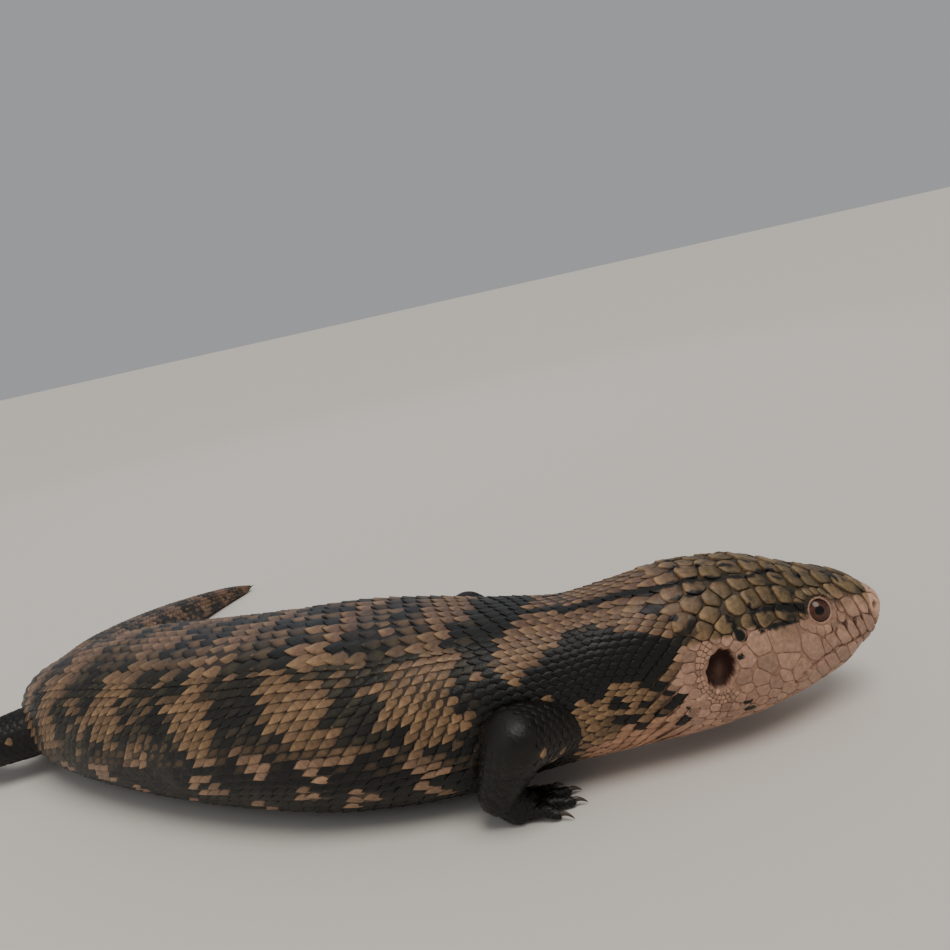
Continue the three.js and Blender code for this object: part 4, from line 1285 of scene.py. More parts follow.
def build_shields(material):
    """Every shield of the head as one mesh; each is a closed plate with its root in the skin."""
    random = np.random.default_rng(SEED + 2)
    nostril = (float(surface_distance(NOSTRIL["station"])), arc_at(NOSTRIL["station"], NOSTRIL["angle"]))
    tables = []
    shades = []
    quads = []
    triangles = []
    start = 0
    for here, half, outline in shield_outlines():
        tip = half == 0
        rings = SHIELD_RINGS
        if not tip and math.hypot(here[0] - nostril[0], abs(here[1]) - nostril[1]) < 2.6:
            outline = rounded(outline, 0, 0.16)
            rings = NOSTRIL_RINGS
        radius = np.linalg.norm(outline - outline.mean(0), axis=1).mean()
        low, rear = shield_lift(here, half, radius, random)
        tables.append(shield_points(outline, rings, radius, low, rear, tip))
        shades.append(np.full(len(tables[-1]), random.normal(0, 1)))
        between, ends = ring_faces(len(rings), len(outline))
        quads.append(between + start)
        triangles.append(ends + start)
        start += len(tables[-1])
    distance, arc, height, rims, along, *place = np.concatenate(tables).T
    shades = np.concatenate(shades)
    station = station_of(distance)
    ground = skin_point(station, arc, np.zeros(len(arc)))
    # The plates of the crown are worn and uneven.
    worn = 0.10 * waves(station / 1.5, arc / 1.1, 41) * step(23, 19, np.abs(arc)) * step(8, 14, station)
    height = height + head_relief(ground, station, arc) + np.where(height > 0.1, worn, 0)
    points = skin_point(station, arc, height) + eye_shift(ground)
    marks = markings(station, arc, shades * 0.3)
    head_marks(ground, station, arc, marks, rims)
    attributes = {key: marks[key] for key in MARK_NAMES}
    attributes.update(rim=rims, along=along, shade=shades)
    made = new_object(
        "head_shields", points, np.concatenate(quads), np.concatenate(triangles),
        material, attributes, np.stack(place, -1),
    )
    add_piece(made, "head_skin")


def round_tip(places):
    """Turns places across and above the tip of the snout into distances from it and round from the back."""
    distance = np.hypot(places[:, 0], places[:, 1])
    angle = np.degrees(np.arctan2(places[:, 1], places[:, 0]))
    angle = np.where(angle < -90, angle + 360, angle)
    return np.stack([distance, arcs_at(station_of(distance), angle)], -1)


def cap_outlines():
    """The plate on the front of the snout and the one under it, which the line of the mouth parts."""
    caps = []
    for low, high in ((CAP_LIPS, 180 - CAP_LIPS), (180 - CAP_LIPS, 360 + CAP_LIPS)):
        turns = np.radians(np.linspace(low, high, 30))
        outline = np.stack([np.cos(turns), np.sin(turns)], -1) * CAP
        inner = outline.mean(0)
        caps.append((inner, 0, inner + (outline - inner) * 0.96))
    return caps


# Skin.

# Rows of the skin's grid: the first, the end of the fine ones, and the distance between the others.
FIRST_ROW = 0.28
FINE_END = 68
ROW_PITCH = 2.4
# Points in each row.
SIDES = 212
# The skin's belly ends this far over the floor.
BELLY_GAP = 0.45


def head_rows():
    """Stations of the skin's rows on the head, closest together about the eyes and ears."""
    eye, ear = surface_distance(EYE["station"]), surface_distance(EAR["station"])
    distance = FIRST_ROW
    rows = []
    while distance < FINE_END:
        rows.append(distance)
        near = max(math.exp(-((distance - eye) / 4) ** 2), math.exp(-((distance - ear) / 4.5) ** 2))
        distance += 0.46 - 0.2 * near
    return station_of(np.array(rows))


def skin_grid():
    """The trunk, head and tail as one closed grid, fine on the head."""
    head = head_rows()
    rest = np.arange(head[-1] + ROW_PITCH / 2, BODY_LENGTH - 0.8, ROW_PITCH)
    stations = np.concatenate([head, rest])
    # The points round the body lie closest together on the sides, where the eyes and ears are.
    dense = np.linspace(-1, 1, 2001)
    share = np.cumsum(1 + 0.9 * np.exp(-(((np.abs(dense) - 0.42) / 0.2) ** 2)))
    parts = np.interp(np.arange(SIDES) / SIDES, (share - share[0]) / (share[-1] - share[0]), dense)
    grid_s = np.repeat(stations[:, None], SIDES, 1)
    grid_a = parts[None] * half_round(stations)[:, None]
    height = 0.22 * waves(grid_s / 17, grid_a / 13, 3) * step(60, 90, grid_s) - 0.1
    points = skin_point(grid_s, grid_a, 0 * height)
    on_head = len(head)
    ground = points[:on_head].reshape(-1, 3)
    relief = head_relief(ground, grid_s[:on_head].ravel(), grid_a[:on_head].ravel())
    height[:on_head] += relief.reshape(on_head, SIDES)
    points = skin_point(grid_s, grid_a, height)
    points[:on_head] += eye_shift(ground).reshape(on_head, SIDES, 3)
    points = points.reshape(-1, 3)
    points[:, 2] = np.maximum(points[:, 2], BELLY_GAP)
    tips = [bare_point(0.0, 0.0), spine_point(BODY_LENGTH - 0.6)]
    points = np.concatenate([points, tips])
    rows = len(stations)
    here = np.arange(SIDES)
    after = (here + 1) % SIDES
    nose = rows * SIDES
    triangles = np.concatenate([
        np.stack([after, np.full(SIDES, nose), here], -1),
        np.stack([(rows - 1) * SIDES + here, np.full(SIDES, nose + 1), (rows - 1) * SIDES + after], -1),
    ])
    return points, tube_quads(rows, SIDES), triangles


def ball_mesh(made, centre, radius, flat):
    """Adds a ball to a bmesh; flat is its height as a part of its width."""
    matrix = Matrix.Translation(Vector(centre)) @ Matrix.Diagonal((1, 1, flat, 1))
    bmesh.ops.create_icosphere(made, subdivisions=3, radius=radius, matrix=matrix)


def limb_flesh(plan):
    """Overlapping balls along the joints, palm and toes of one leg: middle, radius and flatness, in mm."""
    root, joint, wrist, palm = limb_joints(plan)
    narrow = wrist * [1, 1, 1, 0.94]
    runs = [(root, joint, 14, 1.0), (joint, wrist, 14, 1.0), (narrow, palm, 8, 0.72)]
    for start, knuckle, tip, _ in toe_places(plan):
        middle = np.array([*knuckle, TOE_RADIUS])
        runs.append((np.array([*start, TOE_RADIUS + 0.3]), middle, 8, 1.0))
        runs.append((middle, np.array([*tip, TOE_RADIUS * 0.8]), 8, 1.0))
    depth = sizes()["limb_depth"]
    balls = []
    for a, b, count, flat in runs:
        for t in np.linspace(0, 1, count):
            ball = a + (b - a) * t
            balls.append((ball[:3], ball[3] - depth, flat))
    return balls


def toe_places(plan):
    """Start, knuckle and tip of each toe, and its direction."""
    palm = np.array(plan["palm"], float)
    places = []
    for spread, long in plan["toes"]:
        turn = math.radians(plan["pointing"] + spread)
        fan = math.radians(plan["pointing"] + spread * 1.3)
        toward = np.array([math.cos(turn), math.sin(turn), 0])
        reach = plan["palm_radius"] * 0.6
        start = np.array([palm[0] + math.cos(fan) * reach, palm[1] + math.sin(fan) * reach, 2.4])
        knuckle = start + toward * long * 0.5
        knuckle[2] = TOE_RADIUS + 0.5
        tip = start + toward * long
        tip[2] = TOE_RADIUS * 0.8 - 0.1
        places.append((start, knuckle, tip, toward))
    return places


def limb_object(name, plan, material):
    """One leg as a smooth closed mesh."""
    made = bmesh.new()
    for centre, radius, flat in limb_flesh(plan):
        ball_mesh(made, centre * MM, max(radius, 0.9) * MM, flat)
    mesh = bpy.data.meshes.new(name)
    made.to_mesh(mesh)
    made.free()
    mesh.materials.append(material)
    limb = bpy.data.objects.new(name, mesh)
    bpy.context.scene.collection.objects.link(limb)
    remesh = limb.modifiers.new("Voxels", "REMESH")
    remesh.mode = "VOXEL"
    remesh.voxel_size = sizes()["limb_mesh"] * MM
    soften = limb.modifiers.new("Soften", "SMOOTH")
    soften.factor = 0.5
    soften.iterations = 6
    applied(limb)
    points = coordinates(limb.data)
    points[:, 2] = np.maximum(points[:, 2], 0.12)
    limb.data.vertices.foreach_set("co", (points * MM).astype(np.float32).ravel())
    return limb


def limb_shares(points):
    """0 on the trunk to 1 on the legs, for places of the skin."""
    share = np.zeros(len(points))
    for plan in LIMBS.values():
        joints = limb_joints(plan)
        for a, b in zip(joints[:-1], joints[1:]):
            away, part = off_axis(points, a[:3], b[:3])
            share = np.maximum(share, step(1.5, 0.9, away / (a[3] + (b[3] - a[3]) * part)))
        for start, _, tip, _ in toe_places(plan):
            share = np.maximum(share, step(4.0, 2.6, off_axis(points, start, tip)[0]))
    return share


def nearest_places(points):
    """Station and angle of the trunk's surface nearest to each point."""
    grid_s, grid_a = np.meshgrid(np.arange(1.0, 438, 2.0), np.arange(-90, 270, 4.0), indexing="ij")
    cloud = bare_point(grid_s, grid_a).reshape(-1, 3)
    tree = KDTree(len(cloud))
    for i, point in enumerate(cloud):
        tree.insert(point, i)
    tree.balance()
    found = np.array([tree.find(point)[1] for point in points])
    return grid_s.ravel()[found], grid_a.ravel()[found]


# Pale flecks on the upper foreleg.
ARM_FLECKS = [(69.3, -50.5, 19.5), (71.3, -44.0, 14.2)]


def limb_marks(points, blotchy):
    """The legs are black with a few pale flecks."""
    flecks = waves(points[:, 0] / 2.6 + points[:, 2] / 2.2, points[:, 1] / 2.4, 23) + 0.45 * blotchy
    flecks -= 0.5 * (points[:, 0] > 0)
    for place in ARM_FLECKS:
        flecks = np.where(np.linalg.norm(points - place, axis=1) < 1.9, 2.0, flecks)
    marks = {key: np.zeros(len(points)) for key in MARK_NAMES}
    marks["pale"] = step(1.35, 1.6, flecks)
    marks["grey"] = np.clip(0.10 + 0.15 * waves(points[:, 0] / 8, points[:, 1] / 8, 29), 0, 1)
    marks["pink"] += 0.35
    return marks


def build_skin(material):
    """The one skin over all the flesh, with the legs joined to the trunk."""
    points, quads, triangles = skin_grid()
    skin = new_object("skin", points, quads, triangles, material)
    for name, plan in LIMBS.items():
        limb = limb_object(name + "_flesh", plan, material)
        join = skin.modifiers.new("Join", "BOOLEAN")
        join.operation = "UNION"
        join.solver = "MANIFOLD"
        join.object = limb
        applied(skin)
        removed(limb)
    mesh = skin.data
    mesh.materials.clear()
    mesh.materials.append(material)
    mesh.polygons.foreach_set("material_index", np.zeros(len(mesh.polygons), np.int32))
    mesh.polygons.foreach_set("use_smooth", np.ones(len(mesh.polygons), bool))
    points = coordinates(mesh)
    station, angle = nearest_places(points)
    zero = np.zeros(len(points))
    arc = arcs_at(station, angle)
    marks = markings(station, arc, zero)
    head_marks(points, station, arc, marks)
    legs = limb_marks(points, zero)
    share = limb_shares(points)
    for key in MARK_NAMES:
        layer = mesh.attributes.new(key, "FLOAT", "POINT")
        blend = marks[key] * (1 - share) + legs[key] * share
        layer.data.foreach_set("value", blend.astype(np.float32))
    # The skin between scales carries the values of a scale's dark edge and shaded front: dark skin, and
    # painted shade in the gaps between scales.
    for key, value in (("rim", 0.85), ("along", -0.6), ("shade", 0.0)):
        layer = mesh.attributes.new(key, "FLOAT", "POINT")
        layer.data.foreach_set("value", np.full(len(points), value, np.float32))
    flesh = [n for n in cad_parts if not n.startswith("eye")]
    add_piece(skin, "body_skin", *flesh)


# Scales of the legs.

def limb_lattice(pitch):
    """Rows of point, directions along and outwards, length, width, map place and fineness over each leg."""
    places = []
    for index, plan in enumerate(LIMBS.values()):
        joints = limb_joints(plan)
        runs = [(joints[k, :3], joints[k, 3], joints[k + 1, :3], joints[k + 1, 3], 1.0) for k in range(3)]
        for start, knuckle, tip, _ in toe_places(plan):
            runs.append((start, TOE_RADIUS + 0.3, knuckle, TOE_RADIUS, 0.55))
            runs.append((knuckle, TOE_RADIUS, tip + (tip - knuckle) * 0.2, TOE_RADIUS * 0.8, 0.55))
        for k, (a, ra, b, rb, fine) in enumerate(runs):
            axis = b - a
            long = np.linalg.norm(axis)
            direction = axis / long
            first = unit(np.cross(direction, [0.13, 0.21, 1.0]))
            second = np.cross(direction, first)
            row_length = pitch * 0.86 * fine
            rings = max(2, int(long / row_length * 2))
            for ring in range(rings + 1):
                t = ring / rings
                radius = ra + (rb - ra) * t
                around = max(6, int(math.tau * radius / (pitch * 2 * fine)))
                row_width = math.tau * radius / around / 2
                for j in range(around):
                    turn = (j + 0.5 * (ring % 2)) / around * math.tau
                    side = first * math.cos(turn) + second * math.sin(turn)
                    point = a + axis * t + side * radius
                    map_place = limb_uv(index, (k + t) / len(runs), turn)
                    places.append([*point, *direction, *side, row_length, row_width, *map_place, fine])
    return np.array(places)


def on_skin(points, outward):
    """Nearest places of the skin, their normals, and whether each is near and faces outwards."""
    skin = bpy.data.objects["skin"].data
    tree = BVHTree.FromPolygons(
        [v.co.copy() for v in skin.vertices], [tuple(p.vertices) for p in skin.polygons]
    )
    spots = []
    normals = []
    good = []
    for point, out in zip(points, outward):
        spot, normal, _, away = tree.find_nearest(Vector(point * MM))
        spots.append(spot)
        normals.append(normal)
        good.append(away < 1.3 * MM and normal.dot(Vector(out)) > 0.2)
    return np.array(spots) / MM, np.array(normals), np.array(good)


def inside_trunk(points):
    """True for places inside the trunk or close to its surface."""
    margin = 0.6
    station, angle = nearest_places(points)
    offset = points - bare_point(station, angle)
    return (offset * bare_normal(station, angle)).sum(1) < margin


def build_limb_scales(material):
    """Small scales over each leg, laid on the skin."""
    size = sizes()
    random = np.random.default_rng(SEED + 3)
    places = limb_lattice(size["limb_scale"])
    spots, normals, good = on_skin(places[:, :3], places[:, 6:9])
    keep = good & ~inside_trunk(spots)
    base = spots[keep]
    normal = unit(normals[keep])
    ahead = places[keep, 3:6]
    row_length, row_width, _, _, fine = places[keep, 9:].T[..., None]
    tangent = unit(ahead - normal * (ahead * normal).sum(1, keepdims=True))
    side = np.cross(normal, tangent)
    template = scale_template(6)
    along, across, level = template[0].T[:, None]
    x = along * row_length * 2 * 0.56
    y = across * row_width * 2 * 0.62
    thick = fine * 0.62
    z = np.where(level > 0, level * size["scale_edge"] * thick, level * size["scale_root"] * 0.8)
    points = (base[:, None] + tangent[:, None] * x[..., None] + side[:, None] * y[..., None]
              + normal[:, None] * z[..., None])
    # Each point follows the skin's curve away from its own scale's flat plane.
    curve = 6.0
    bend = (x**2 + y**2) / (2 * curve)
    points = (points - normal[:, None] * (bend * 0.8)[..., None]).reshape(-1, 3)
    points[:, 2] = np.maximum(points[:, 2], FLOOR_GAP)
    marks = limb_marks(base, random.normal(0, 1, len(base)))
    shades = random.normal(0, 1, len(base))
    map_places = places[keep, 11:13]
    add_scales("leg_scales", "limb_skin", points, map_places, marks, shades, template, material)


# Materials.

def shader_node(tree, kind, settings=None, links=None):
    """Adds one node with its settings; links maps its input names to other nodes' outputs."""
    made = tree.nodes.new(kind)
    for key, value in (settings or {}).items():
        if key in made.inputs:
            made.inputs[key].default_value = value
        else:
            setattr(made, key, value)
    for key, output in (links or {}).items():
        tree.links.new(output, made.inputs[key])
    return made


def new_material(name):
    """A material with an empty node tree."""
    material = bpy.data.materials.new(name)
    material.use_nodes = True
    tree = material.node_tree
    tree.nodes.clear()
    return material, tree


def finish_material(tree, shader):
    """Leads a shader to the surface."""
    shader_node(tree, "ShaderNodeOutputMaterial", None, {"Surface": shader.outputs[0]})


def mixed(tree, factor, first, second):
    """A colour mix; first and second are colours or outputs."""
    made = tree.nodes.new("ShaderNodeMix")
    made.data_type = "RGBA"
    tree.links.new(factor, made.inputs["Factor"])
    for name, value in (("A", first), ("B", second)):
        socket = [s for s in made.inputs if s.name == name and s.type == "RGBA"][0]
        if isinstance(value, tuple):
            socket.default_value = value
        else:
            tree.links.new(value, socket)
    return [s for s in made.outputs if s.type == "RGBA"][0]


def scaled(tree, value, by, add=0.0, kept=True):
    """A share times a number plus a number, kept from 0 to 1."""
    made = shader_node(tree, "ShaderNodeMath", {"operation": "MULTIPLY_ADD", "use_clamp": kept}, {0: value})
    made.inputs[1].default_value = by
    made.inputs[2].default_value = add
    return made.outputs[0]


def combined(tree, operation, first, second, kept=False):
    """Two shares multiplied or added, or the larger of them."""
    settings = {"operation": operation, "use_clamp": kept}
    return shader_node(tree, "ShaderNodeMath", settings, {0: first, 1: second}).outputs[0]


def noise(tree, place, scale, detail, low, high, least=0.0, most=1.0):
    """Noise with features of 1 / scale metres; its values from low to high run from least to most."""
    made = shader_node(
        tree, "ShaderNodeTexNoise", {"Scale": scale, "Detail": detail, "Roughness": 0.6}, {"Vector": place}
    )
    limits = {"From Min": low, "From Max": high, "To Min": least, "To Max": most}
    return shader_node(tree, "ShaderNodeMapRange", limits, {"Value": made.outputs["Fac"]}).outputs[0]


def dark_scales(tree, share, tone):
    """The dark ground: black, in places grey, with a painted blue sheen on the back."""
    ground = mixed(tree, share["grey"], tone["black"], tone["grey"])
    # Painted reflection: the dark scales of the back are tinted blue like a cool sky's sheen.
    ground = mixed(tree, scaled(tree, share["back"], 0.8), ground, tone["blue"])
    # Dark scales of the back are lighter and browner in the middle.
    middle = combined(tree, "MULTIPLY", scaled(tree, share["rim"], -1.35, 1.0), share["spot"])
    lighter = mixed(tree, scaled(tree, share["ringed"], 1.0), tone["olive"], tone["tan"])
    ground = mixed(tree, scaled(tree, middle, 0.8), ground, lighter)
    # Many of them end in a thin light line, partly their own pale edge and partly a painted highlight on the
    # glossy edge.
    streak = combined(tree, "MULTIPLY", scaled(tree, share["along"], 2.4, -1.5), share["spot"])
    return mixed(tree, scaled(tree, streak, 0.6), ground, tone["cream"])


def pale_scales(tree, share, tone, stain):
    """Pale scales: tan to pink with brown stains, creamy at the rear, partly as their own paler edge and
    partly as painted highlight.
    """
    pale = mixed(tree, share["pink"], tone["tan"], tone["pink"])
    pale = mixed(tree, scaled(tree, stain, 0.28), pale, tone["crown"])
    # Creamy towards the free rear end: partly a paler edge, partly painted highlight.
    return mixed(tree, scaled(tree, share["along"], 0.8, -0.12), pale, tone["cream"])


def crown_scales(tree, share, tone, place):
    """Brown plates of the crown, clouded with grey and tan, with a creamy painted highlight at the rear."""
    crown = mixed(tree, noise(tree, place, 260.0, 5.0, 0.5, 0.66), tone["crown"], tone["grey"])
    crown = mixed(tree, noise(tree, place, 200.0, 4.0, 0.52, 0.66, 0.0, 0.7), crown, tone["tan"])
    # Painted highlight: creamy on the rear edge, where it catches the light.
    return mixed(tree, scaled(tree, share["along"], 0.5, -0.12), crown, tone["cream"])


def scale_edges(tree, share, tone, coat):
    """Dark edges of the scales, partly their own colour and partly painted shade between them, and painted
    shade in the hollows, over the coat's colour.
    """
    seam = mixed(tree, share["face"], tone["suture"], tone["seam"])
    # The edge of a scale is dark, on the flank only at its sides and not at its free rear end. On the back
    # and low on the flank it is dark all round too, the rear edge partly as painted shadow.
    rear = combined(
        tree, "MAXIMUM", scaled(tree, share["along"], -1.0, 0.95), scaled(tree, share["ringed"], 0.8)
    )
    edge = combined(tree, "MULTIPLY", scaled(tree, share["rim"], 1.7, -0.75), rear)
    edge = combined(tree, "MULTIPLY", edge, scaled(tree, share["crown"], -0.3, 1.0))
    coat = mixed(tree, edge, coat, seam)
    # Painted shade in the ears, nostrils and mouth; brown in the lip's notches.
    return mixed(tree, share["hollow"], coat, tone["hollow"])


def keratin_relief(tree, place):
    """Fine growth lines, under half a millimetre apart, and shallow dents break the sheen."""
    grain = noise(tree, place, 2600.0, 3.0, 0.0, 1.0)
    dents = noise(tree, place, 1100.0, 2.0, 0.0, 1.0)
    fine = shader_node(tree, "ShaderNodeBump", {"Strength": 0.3, "Distance": 0.00012}, {"Height": grain})
    links = {"Height": dents, "Normal": fine.outputs["Normal"]}
    coarse = shader_node(tree, "ShaderNodeBump", {"Strength": 0.35, "Distance": 0.0004}, links)
    return coarse.outputs["Normal"]


def keratin_material():
    """Keratin scales over skin: a satin surface whose colours follow the markings carried by the meshes."""
    material, tree = new_material("keratin scales")
    tone = colours()
    share = {
        key: shader_node(tree, "ShaderNodeAttribute", {"attribute_name": key}).outputs["Fac"]
        for key in (*MARK_NAMES, "rim", "along", "shade")
    }
    place = shader_node(tree, "ShaderNodeTexCoord").outputs["Object"]
    # Pigment clusters over about a millimetre, so each scale is mottled; scales differ over a centimetre.
    mottle = noise(tree, place, 900.0, 4.0, 0.3, 0.7, 0.74, 1.26)
    cloud = noise(tree, place, 160.0, 3.0, 0.3, 0.7)
    stain = noise(tree, place, 420.0, 5.0, 0.50, 0.62)
    ground = dark_scales(tree, share, tone)
    coat = mixed(tree, share["pale"], ground, pale_scales(tree, share, tone, stain))
    coat = mixed(tree, share["crown"], coat, crown_scales(tree, share, tone, place))
    # Painted shade: scale fronts are darkened as if in shadow under the scales ahead of them; the plates of
    # the face lie flat.
    coat = mixed(tree, scaled(tree, share["along"], -0.85, -0.15), coat, tone["suture"])
    for mark, name in (("face", "face"), ("salmon", "salmon"), ("nose", "nose"), ("dark", "black")):
        coat = mixed(tree, share[mark], coat, tone[name])
    coat = scale_edges(tree, share, tone, coat)
    # Each scale is a little lighter or darker than its neighbours.
    value = combined(tree, "MULTIPLY", scaled(tree, share["shade"], 0.14, 1.0, False), mottle)
    coat = shader_node(tree, "ShaderNodeHueSaturation", None, {"Color": coat, "Value": value}).outputs[0]
    # The sheen is satin and uneven, and dull in the hollows.
    satin = shader_node(tree, "ShaderNodeMapRange", {"To Min": 0.38, "To Max": 0.56}, {"Value": cloud})
    rough = combined(tree, "ADD", scaled(tree, share["hollow"], 0.35), satin.outputs[0], True)
    shader = shader_node(
        tree, "ShaderNodeBsdfPrincipled",
        {"IOR": 1.5, "Specular IOR Level": 0.36, "Subsurface Weight": 0.05, "Subsurface Scale": 0.0006},
        {"Base Color": coat, "Roughness": rough, "Normal": keratin_relief(tree, place)},
    )
    finish_material(tree, shader)
    return material


def coat_material():
    """The keratin material, made once for all."""
    return bpy.data.materials.get("keratin scales") or keratin_material()


# Colours of the iris's outer line and the pupil, as linear RGBA.
IRIS_LINE = (0.006, 0.004, 0.003, 1.0)
PUPIL = (0.001, 0.001, 0.001, 1.0)


def eye_material():
    """The iris under the cornea: dark red brown, lighter about the black pupil, in a black outer line."""
    material, tree = new_material("iris")
    tone = colours()
    ring = shader_node(tree, "ShaderNodeAttribute", {"attribute_name": "ring"}).outputs["Fac"]
    place = shader_node(tree, "ShaderNodeTexCoord").outputs["Object"]
    fleck = shader_node(tree, "ShaderNodeTexNoise", {"Scale": 1500.0, "Detail": 4.0}, {"Vector": place})

    def share(value, start, end, most=1.0):
        limits = {"From Min": start, "From Max": end, "To Max": most}
        return shader_node(tree, "ShaderNodeMapRange", limits, {"Value": value}).outputs[0]

    iris = mixed(tree, share(fleck.outputs["Fac"], 0.42, 0.66, 0.6), tone["iris"], tone["iris_light"])
    iris = mixed(tree, share(ring, 0.72, 0.46, 0.75), iris, tone["iris_light"])
    iris = mixed(tree, share(ring, 0.80, 0.98), iris, IRIS_LINE)
    iris = mixed(tree, share(ring, 0.44, 0.40), iris, PUPIL)
    # A thin film of tears gives the eye its sharp highlight.
    shader = shader_node(
        tree, "ShaderNodeBsdfPrincipled",
        {"IOR": 1.34, "Roughness": 0.16, "Coat Weight": 0.3, "Coat Roughness": 0.03}, {"Base Color": iris},
    )
    finish_material(tree, shader)
    return material


def plain_material(name, base, roughness, ior):
    """A material of one colour."""
    material, tree = new_material(name)
    settings = {"Base Color": base, "Roughness": roughness, "IOR": ior}
    finish_material(tree, shader_node(tree, "ShaderNodeBsdfPrincipled", settings))
    return material


def claw_material():
    """Claw horn: smooth and dark, with a small highlight."""
    return plain_material("claw horn", colours()["claw"], 0.35, 1.55)


def floor_material():
    """Matte paper: an even floor without a shine."""
    return plain_material("matte paper floor", colours()["floor"], 0.9, 1.45)


# Eyes and claws.

# Radius of the iris, and how far the eyeball keeps inside the eye of the solids.
IRIS_RADIUS = 2.75
EYE_GAP = 0.05
# The value that the parts of an eyeball behind its iris carry.
BEHIND_IRIS = 2.0


def build_eye(side):
    """An eyeball turned outwards, with the iris and pupil on its front."""
    centre, out, along, up = eye_axes(side)
    middle = centre - out * EYE["sunk"]
    gaze = math.radians(EYE["gaze"]) * side
    out, along = out * math.cos(gaze) - along * math.sin(gaze), along * math.cos(gaze) + out * math.sin(gaze)
    radius = EYE["radius"] - EYE_GAP
    rings, sides = 40, 48
    points = []
    ring_values = []
    for i in range(1, rings):
        polar = math.pi * i / rings
        radial = math.sin(polar)
        for j in range(sides):
            turn = j / sides * math.tau
            local = out * math.cos(polar) + (along * math.cos(turn) + up * math.sin(turn)) * radial
            points.append(middle + local * radius)
            ring_values.append(radial * EYE["radius"] / IRIS_RADIUS if polar < math.pi / 2 else BEHIND_IRIS)
    here = np.arange(sides)
    after = (here + 1) % sides
    front = np.full(sides, len(points))
    last = (rings - 2) * sides
    triangles = np.concatenate([
        np.stack([here, after, front], -1),
        np.stack([last + after, last + here, front + 1], -1),
    ])
    points += [middle + out * radius, middle - out * radius]
    ring_values += [0.0, BEHIND_IRIS]
    name = "right" if side > 0 else "left"
    made = new_object(
        "eyeball_" + name, np.array(points), tube_quads(rings - 1, sides), triangles,
        bpy.data.materials.get("iris") or eye_material(), {"ring": np.array(ring_values)},
    )
    add_piece(made, "eye", "eye_" + name)


def build_claws(material):
    """Every claw as a curved horn cone whose root is in its toe."""
    points = []
    quads = []
    triangles = []
    sides, rings = 10, 8
    for plan in LIMBS.values():
        for _, _, tip, toward in toe_places(plan):
            across = np.array([-toward[1], toward[0], 0])
            start = len(points)
            for i in range(rings):
                t = i / rings
                # A claw rises a little from its root and curves down to its point.
                middle = tip + toward * (CLAW_LENGTH + 1.2) * t
                middle[2] = 1.55 + 0.55 * math.sin(t * math.pi) - 1.15 * t * t
                radius = 0.82 * (1 - t) ** 0.7 + 0.05
                for j in range(sides):
                    turn = j / sides * math.tau
                    points.append(middle + across * math.cos(turn) * radius * 0.7
                                  + np.array([0, 0, 1]) * math.sin(turn) * radius)
            points.append(tip + toward * (CLAW_LENGTH + 1.1) + np.array([0, 0, 0.42 - tip[2]]))
            points.append(tip.copy())
            between, ends = ring_faces(rings, sides)
            quads.append(between + start)
            triangles.append(ends + start)
    made = new_object("claws", np.array(points), np.concatenate(quads), np.concatenate(triangles), material)
    add_piece(made, "limb_skin")


# Stage.

FLOOR_HALF = 40.0
# Large lamps: name, place in metres, size, watts and tint.
LAMPS = [
    ("fill", (-0.55, -0.65, 0.45), 0.9, 1.2, (0.93, 0.96, 1.0)),
    ("rim", (-0.1, 0.75, 0.7), 0.8, 0.7, (0.92, 0.95, 1.0)),
]
# What the lamps are turned to.
LIT_PLACE = Vector((0.02, 0.03, 0.02))
# A broad warm key light that gives soft shadows.
KEY_LIGHT = {"energy": 1.7, "angle": math.radians(38), "color": (1.0, 0.95, 0.88)}
KEY_DIRECTION = Vector((-0.25, 0.32, -0.85))
SKY = (0.84, 0.85, 0.87, 1)
SKY_STRENGTH = 0.42


def build_floor():
    """A large matte floor."""
    mesh = bpy.data.meshes.new("floor")
    corners = [(x * FLOOR_HALF, y * FLOOR_HALF, 0) for x, y in ((-1, -1), (1, -1), (1, 1), (-1, 1))]
    mesh.from_pydata(corners, [], [(0, 1, 2, 3)])
    mesh.materials.append(floor_material())
    floor = bpy.data.objects.new("floor", mesh)
    bpy.context.scene.collection.objects.link(floor)


def add_light(name, kind, settings, direction):
    """A light that shines in a direction."""
    data = bpy.data.lights.new(name, kind)
    for key, value in settings.items():
        setattr(data, key, value)
    light = bpy.data.objects.new(name, data)
    light.rotation_mode = "QUATERNION"
    light.rotation_quaternion = direction.to_track_quat("-Z", "Y")
    bpy.context.scene.collection.objects.link(light)
    return light


def build_lights():
    """The key light, two lamps and an even sky."""
    add_light("key", "SUN", KEY_LIGHT, KEY_DIRECTION)
    for name, place, size, watts, tint in LAMPS:
        settings = {"size": size, "energy": watts, "color": tint}
        add_light(name, "AREA", settings, LIT_PLACE - Vector(place)).location = place
    world = bpy.data.worlds.new("studio")
    world.use_nodes = True
    sky = world.node_tree.nodes["Background"].inputs
    sky["Color"].default_value = SKY
    sky["Strength"].default_value = SKY_STRENGTH
    bpy.context.scene.world = world


# The camera of the photo: place in mm, heading, downward pitch and roll in degrees.
CAMERA = {"place": (90.97, -256.92, 118.66), "heading": -6.51, "pitch": 9.97, "roll": -12.71, "lens": 38.77}


